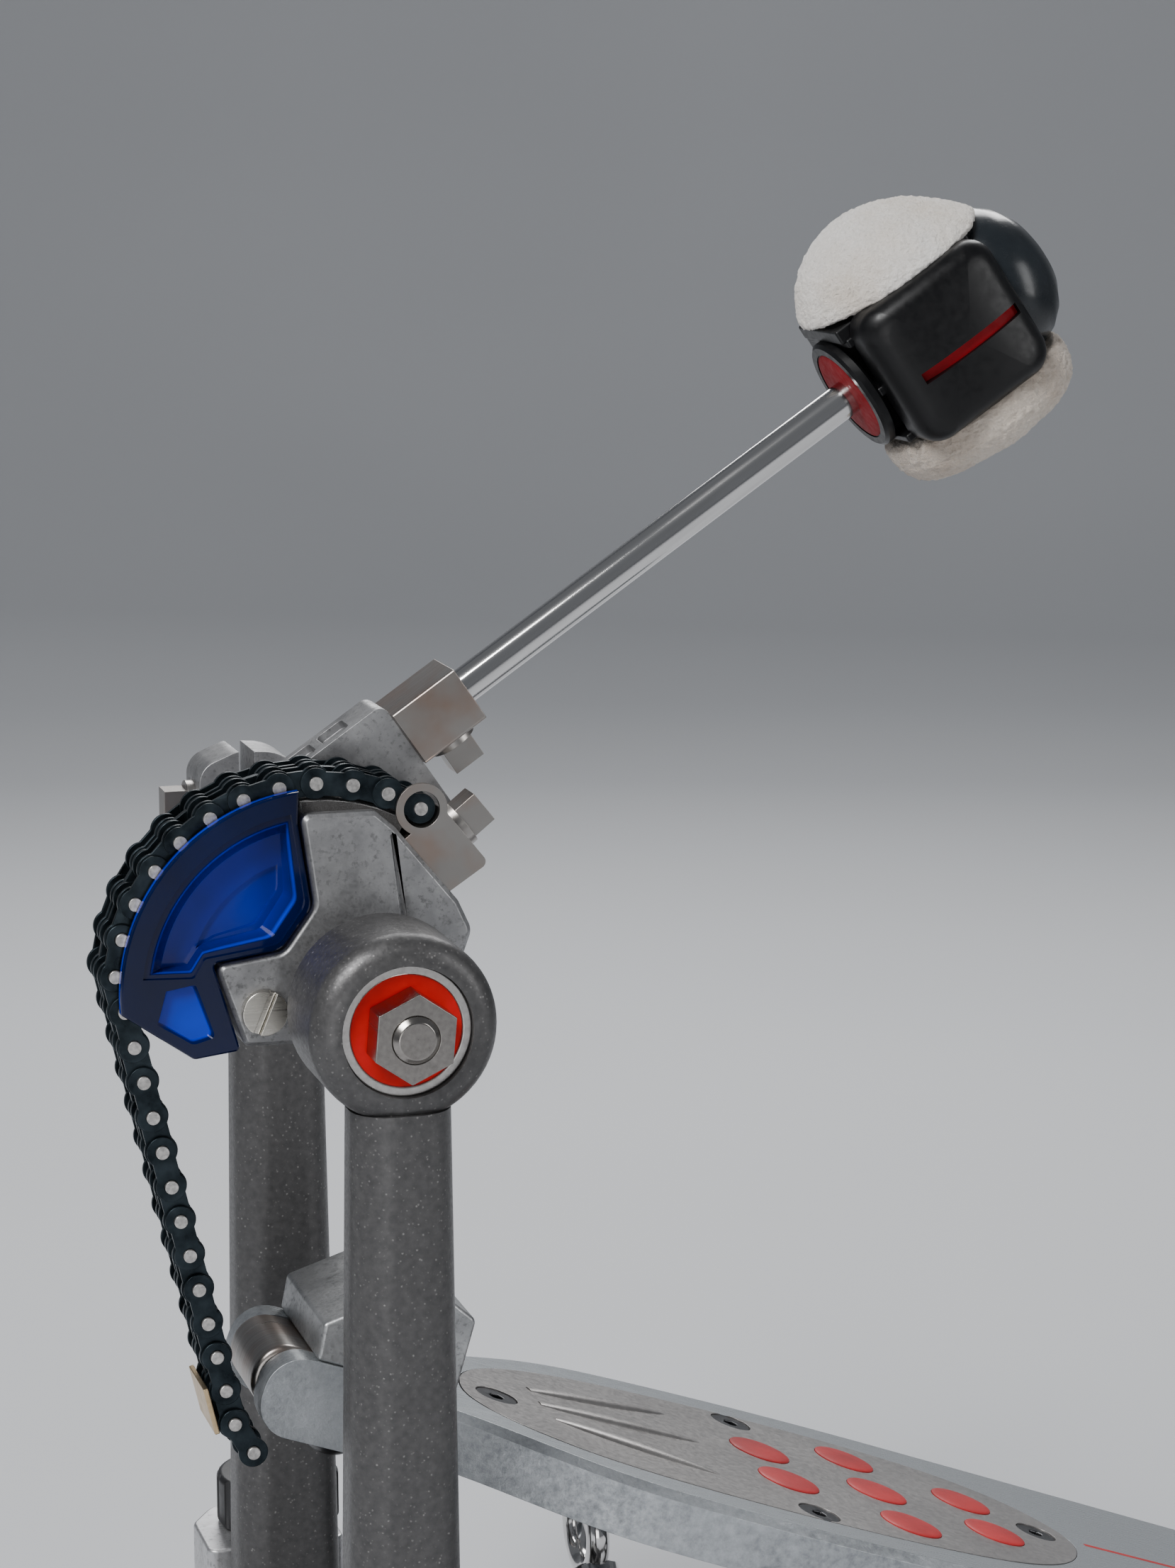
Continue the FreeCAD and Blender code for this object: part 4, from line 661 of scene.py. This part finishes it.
def felt_pad(name, profile, lean, sign, seed, width):
    """Thick felt pad: profile gives (height, radius), lean gives (height, centre along the shaft).

    width is the pad's size across the head, as a share of its size along the shaft. sign is the
    side of the shaft it is on, and seed moves the noise that roughens it.
    """
    bm = bmesh.new()
    rings = 120
    spokes = 240
    length = [0.0]
    for (h0, r0), (h1, r1) in zip(profile, profile[1:]):
        length.append(length[-1] + math.hypot(h1 - h0, r1 - r0))
    verts = []
    for ring_number in range(rings + 1):
        along = length[-1] * ring_number / rings
        height = between(list(zip(length, [h for h, _ in profile])), along)
        radius = max(0.05, between(list(zip(length, [r for _, r in profile])), along))
        middle = between(lean, height)
        verts.append([bm.verts.new((sign * height, width * radius * math.cos(2 * math.pi * k / spokes),
                                    middle + radius * math.sin(2 * math.pi * k / spokes)))
                      for k in range(spokes)])
    for lower, upper in zip(verts, verts[1:]):
        for k in range(spokes):
            j = (k + 1) % spokes
            bm.faces.new((lower[k], lower[j], upper[j], upper[k]))
    bm.faces.new(list(reversed(verts[0])))
    bmesh.ops.remove_doubles(bm, verts=bm.verts, dist=0.06)
    for _ in range(3):
        bmesh.ops.smooth_vert(bm, verts=bm.verts, factor=0.5, use_axis_x=True, use_axis_y=True,
                              use_axis_z=True)
    bmesh.ops.recalc_face_normals(bm, faces=bm.faces)
    bm.normal_update()
    for v in bm.verts:
        p = v.co + Vector((seed, seed * 2, 0))
        soft = noise.noise(p * 0.12) * 0.4
        tuft = noise.noise(p * 0.9) * 0.24 + noise.noise(p * 2.4) * 0.2 + noise.noise(p * 4.1) * 0.12
        v.co += v.normal * (soft + tuft)
    return from_bmesh(name, bm, BEATER, 180.0)


front_felt = felt_pad("v_beater_front_felt", [
    (13.9, 16.0), (13.9, 17.8), (14.5, 18.5), (15.5, 18.3), (17.0, 17.4), (19.0, 15.9), (21.0, 14.0),
    (22.9, 11.7), (24.6, 8.9), (25.9, 5.8), (26.6, 2.8), (26.8, 0.0)],
    [(13.9, 151.4), (16.4, 150.9), (20.8, 149.6), (26.8, 149.0)], sign=1.0, seed=3.0, width=0.82)
finish_piece(front_felt, "head", "felt_white", ("beater_front_felt",))
rear_felt = felt_pad("v_beater_rear_felt", [
    (12.4, 16.0), (12.4, 17.6), (13.2, 18.5), (15.0, 18.7), (17.4, 18.4), (19.2, 17.6), (20.6, 16.2),
    (21.5, 14.2), (21.8, 11.5), (21.9, 0.0)],
    [(12.4, 152.4), (22.0, 152.4)], sign=-1.0, seed=11.0, width=0.88)
finish_piece(rear_felt, "head", "felt_white", ("beater_rear_felt",), "felt_worn")


# ------------------------------------------------------------------ beater body
PAD_LOW = 135.9
PAD_HIGH = 164.3
PAD_INNER = 9.8
PAD_OUTER = 19.4
SLIT_X = -0.4
SLIT_MIDDLE = 151.4
SLIT_HALF = 10.6
SLIT_BACK = 15.6


def crowned_pad(name, x_half, z_low, z_high, y_inner, y_outer, corner, crown, centre_x, place):
    """Pad with rounded corners whose outer face bulges along the shaft (outer side at y_outer)."""
    z_mid = (z_low + z_high) / 2
    z_half = (z_high - z_low) / 2
    direction = 1.0 if y_outer > y_inner else -1.0

    def outline(shrink, count=96):
        points = []
        a = x_half - shrink
        b = z_half - shrink
        r = max(corner - shrink * 0.4, 0.5)
        for quadrant, (sx, sz) in enumerate(((1, 1), (-1, 1), (-1, -1), (1, -1))):
            for k in range(count // 4):
                angle = math.pi / 2 * (quadrant + k / (count // 4 - 1))
                points.append((centre_x + sx * (a - r) + r * math.cos(angle),
                               z_mid + sz * (b - r) + r * math.sin(angle)))
        return points

    def face(u, v, drop):
        bow = crown * abs((v - z_mid) / z_half) ** 2.4 + 0.5 * abs((u - centre_x) / x_half) ** 3
        return y_outer - direction * (bow + drop)

    edge = 3.4
    loops = [[(u, y_inner, v) for u, v in outline(0.0)]]
    for k in range(0, 9):
        angle = math.pi / 2 * k / 8
        loops.append([(u, face(u, v, edge * (1 - math.sin(angle))), v)
                      for u, v in outline(edge * (1 - math.cos(angle)))])
    for k in range(1, 9):
        shrink = edge + (min(x_half, z_half) - edge - 0.7) * k / 8
        loops.append([(u, face(u, v, 0.0), v) for u, v in outline(shrink)])
    return bridge_loops(name, loops, place, True, 40.0)


def slit_floor(name, side, depth, half_width):
    """Curved strip along the slit; its face is depth under the pad's crown."""
    left = SLIT_X - half_width
    right = SLIT_X + half_width
    loops = []
    for k in range(25):
        t = -1 + 2 * k / 24
        z = SLIT_MIDDLE + SLIT_HALF * t
        top = 19.35 - 1.95 * abs(t) ** 2.4 - depth
        loops.append([(left, side * SLIT_BACK, z), (right, side * SLIT_BACK, z),
                      (right, side * top, z), (left, side * top, z)])
    return bridge_loops(name, loops, BEATER, True, 40.0)


for side, label in ((1.0, "near"), (-1.0, "far")):
    pad = crowned_pad("v_pad_" + label, x_half=13.6, z_low=PAD_LOW, z_high=PAD_HIGH,
                      y_inner=side * PAD_INNER, y_outer=side * PAD_OUTER, corner=4.6, crown=2.0,
                      centre_x=0.8, place=BEATER)
    slot_low, slot_high = (15.2, 21.0) if side > 0 else (-21.0, -15.2)
    carve(pad, block("slot", (-1.45, slot_low, 140.7), (0.65, slot_high, 162.1), BEATER))
    round_edges(pad, 0.3, 3, 50.0)
    finish_piece(pad, "head", "beater_black", ("beater_side_pads",))
    inlay = slit_floor("v_inlay_" + label, side, depth=0.75, half_width=1.0)
    finish_piece(inlay, "head", "inlay_red", ("beater_inlays",))

flange = lathe("v_beater_flange", [(3.3, 133.0), (8.9, 133.0), (8.9, 132.75), (10.3, 132.75), (10.9, 133.3),
                                   (10.9, 134.6), (10.2, 135.2), (3.3, 135.2)], BEATER, 96)
finish_piece(flange, "head", "beater_black", ("beater_core",))
ribs = [
    ((-12.8, -9.9, 139.8), (14.2, 9.9, 163.8)),
    ((-0.9, -10.4, 134.9), (0.9, 10.4, 140.2)),
    ((9.4, -10.0, 134.9), (11.2, 10.0, 140.2)),
    ((-10.8, -10.0, 134.9), (-9.2, 10.0, 140.2)),
    ((-9.6, -3.2, 134.9), (10.0, 3.2, 140.2)),
    ((10.6, -9.4, 134.2), (13.4, 9.4, 140.2)),
]
for number, (low, high) in enumerate(ribs):
    rib = block("v_core_rib_%d" % number, low, high, BEATER)
    round_edges(rib, 0.5, 3)
    finish_piece(rib, "head", "beater_black", ("beater_core",))
disc = lathe("v_beater_disc", [(3.4, 132.7), (8.0, 132.7), (8.7, 132.9), (8.7, 133.2), (3.4, 133.2)],
             BEATER, 96)
finish_piece(disc, "head", "inlay_red", ("beater_disc",))
CAP = frame_matrix(SHAFT_LINE + DRUM * 1.1, DRUM, Vector((0, -1, 0)), SHAFT)
cap = lathe("v_beater_end_cap", [(0.0, 162.0), (12.6, 162.0), (14.2, 162.8), (14.6, 164.6), (14.4, 167.0),
                                 (13.4, 169.8), (11.4, 172.4), (8.4, 174.5), (4.6, 175.8), (0.0, 176.2)],
            CAP, 96, 60.0)
finish_piece(cap, "head", "beater_grey", ("beater_end_cap",))


# ------------------------------------------------------------------ footboard details
DOT_RADIUS = 5.95
DOT_SIDES = 48
DOT_PLACES = ((-161, 8), (-161, -8), (-139, 17.2), (-139, 0), (-139, -17.2), (-117, 8.2), (-117, -8.2))
RIDGE_ENDS = (((-208.6, 9.8), (-177.5, 17.6)), ((-208.8, 1.8), (-175.0, 3.4)),
              ((-208.0, -6.0), (-177.5, -15.6)))


def board_top_piece(name, outline, low, high, slot, stands_for=(), crown=0.0):
    """Prism standing on the board's top; crown is the height of a dome over it."""
    loops = [[(u, v, low) for u, v in outline], [(u, v, high) for u, v in outline]]
    if crown:
        middle_u = sum(p[0] for p in outline) / len(outline)
        middle_v = sum(p[1] for p in outline) / len(outline)
        for k in range(1, 7):
            keep = math.cos(math.pi / 2 * k / 7)
            lift = high + crown * math.sin(math.pi / 2 * k / 7)
            loops.append([(middle_u + (u - middle_u) * keep, middle_v + (v - middle_v) * keep, lift)
                          for u, v in outline])
    obj = bridge_loops(name, loops, BOARD, True, 40.0)
    return finish_piece(obj, "board", slot, stands_for)


def grip_ridge(name, start, stop):
    """Low raised ridge between two points of the board's top, thin at its ends."""
    a = Vector((*start, 6.0))
    b = Vector((*stop, 6.0))
    along = (b - a).normalized()
    across = Vector((-along.y, along.x, 0))
    loops = []
    for k in range(15):
        t = k / 14
        width = 0.5 + 2.1 * math.sin(math.pi * (0.08 + 0.9 * t)) ** 0.8
        height = 0.9 * math.sin(math.pi * min(1.0, 0.05 + t * 0.95)) ** 0.6
        centre = a.lerp(b, t)
        loop = []
        for m in range(12):
            angle = 2 * math.pi * m / 12
            loop.append(tuple(centre + across * (width * math.cos(angle))
                              + Vector((0, 0, 0.02 + height * max(-0.3, math.sin(angle))))))
        loops.append(loop)
    ridge = bridge_loops(name, loops, BOARD, True, 60.0)
    return finish_piece(ridge, "board", "insert_grey")


for number, place in enumerate(DOT_PLACES):
    circle = arc_points(place, DOT_RADIUS, 0, 360 - 360 / DOT_SIDES, DOT_SIDES - 1)
    board_top_piece("v_dot_%d" % number, circle, 4.4, 6.25, "dot_red", ("grip_dots",), 0.45)
for number, (start, stop) in enumerate(RIDGE_ENDS):
    grip_ridge("v_grip_ridge_%d" % number, start, stop)
board_top_piece("v_centre_line", [(-93.0, -0.55), (-12.0, -0.55), (-12.0, 0.55), (-93.0, 0.55)],
                5.9, 6.04, "dot_red")


# ------------------------------------------------------------------ stage, light and camera
def studio():
    bm = bmesh.new()
    rows = []
    profile = [(-3.0, 0.0), (1.2, 0.0)]
    profile += [(1.2 + 0.9 * math.sin(math.radians(a)), 0.9 - 0.9 * math.cos(math.radians(a)))
                for a in range(10, 91, 10)]
    profile += [(2.1, 3.4)]
    yaw = math.radians(17.187)
    ahead = Vector((math.sin(yaw), math.cos(yaw), 0))
    across = Vector((ahead.y, -ahead.x, 0))
    for depth, height in profile:
        rows.append([bm.verts.new(ahead * depth + across * s + Vector((0, 0, height))) for s in (-4, 4)])
    for a, b in zip(rows, rows[1:]):
        bm.faces.new((a[0], a[1], b[1], b[0]))
    floor = from_bmesh("studio_floor", bm, None, 60.0)
    paper = Finish("studio_paper", (0.55, 0.56, 0.58), 0.85)
    paper.color(paper.ramp(paper.noise(2.0, 2.0), (0.3, (0.53, 0.54, 0.56)), (0.7, (0.57, 0.58, 0.6))))
    floor.data.materials.append(paper.mat)


def area_light(name, place, target, power, width, height, color=(1, 1, 1)):
    data = bpy.data.lights.new(name, "AREA")
    data.shape = "RECTANGLE"
    data.size = width
    data.size_y = height
    data.energy = power
    data.color = color
    lamp = bpy.data.objects.new(name, data)
    bpy.context.scene.collection.objects.link(lamp)
    lamp.location = place
    lamp.rotation_euler = (Vector(target) - Vector(place)).to_track_quat("-Z", "Y").to_euler()


studio()
area_light("key", (-0.62, -0.5, 1.0), (0.03, 0, 0.22), 16.5, 0.34, 0.5)
area_light("fill", (0.9, -0.75, 0.55), (0.05, 0, 0.2), 4.0, 0.4, 0.8)
area_light("rim", (0.35, 0.8, 0.85), (0.03, 0, 0.22), 9.0, 0.7, 0.5)
area_light("low", (-0.25, -0.9, 0.12), (0.05, 0, 0.12), 1.4, 0.5, 0.3)

world = bpy.data.worlds.new("studio_world")
world.use_nodes = True
world.node_tree.nodes["Background"].inputs["Color"].default_value = (0.62, 0.65, 0.7, 1)
world.node_tree.nodes["Background"].inputs["Strength"].default_value = 0.26
bpy.context.scene.world = world

camera_data = bpy.data.cameras.new("camera")
camera_data.lens = 84.9
camera_data.sensor_width = 36.0
camera_data.sensor_fit = "AUTO"
camera_data.clip_start = 0.01
camera = bpy.data.objects.new("camera", camera_data)
bpy.context.scene.collection.objects.link(camera)
camera.location = (-0.1437, -0.61475, 0.3390)
camera.rotation_euler = (Vector((0.0306, -0.05125, 0.2290)) - camera.location).to_track_quat(
    "-Z", "Y").to_euler()
bpy.context.scene.camera = camera
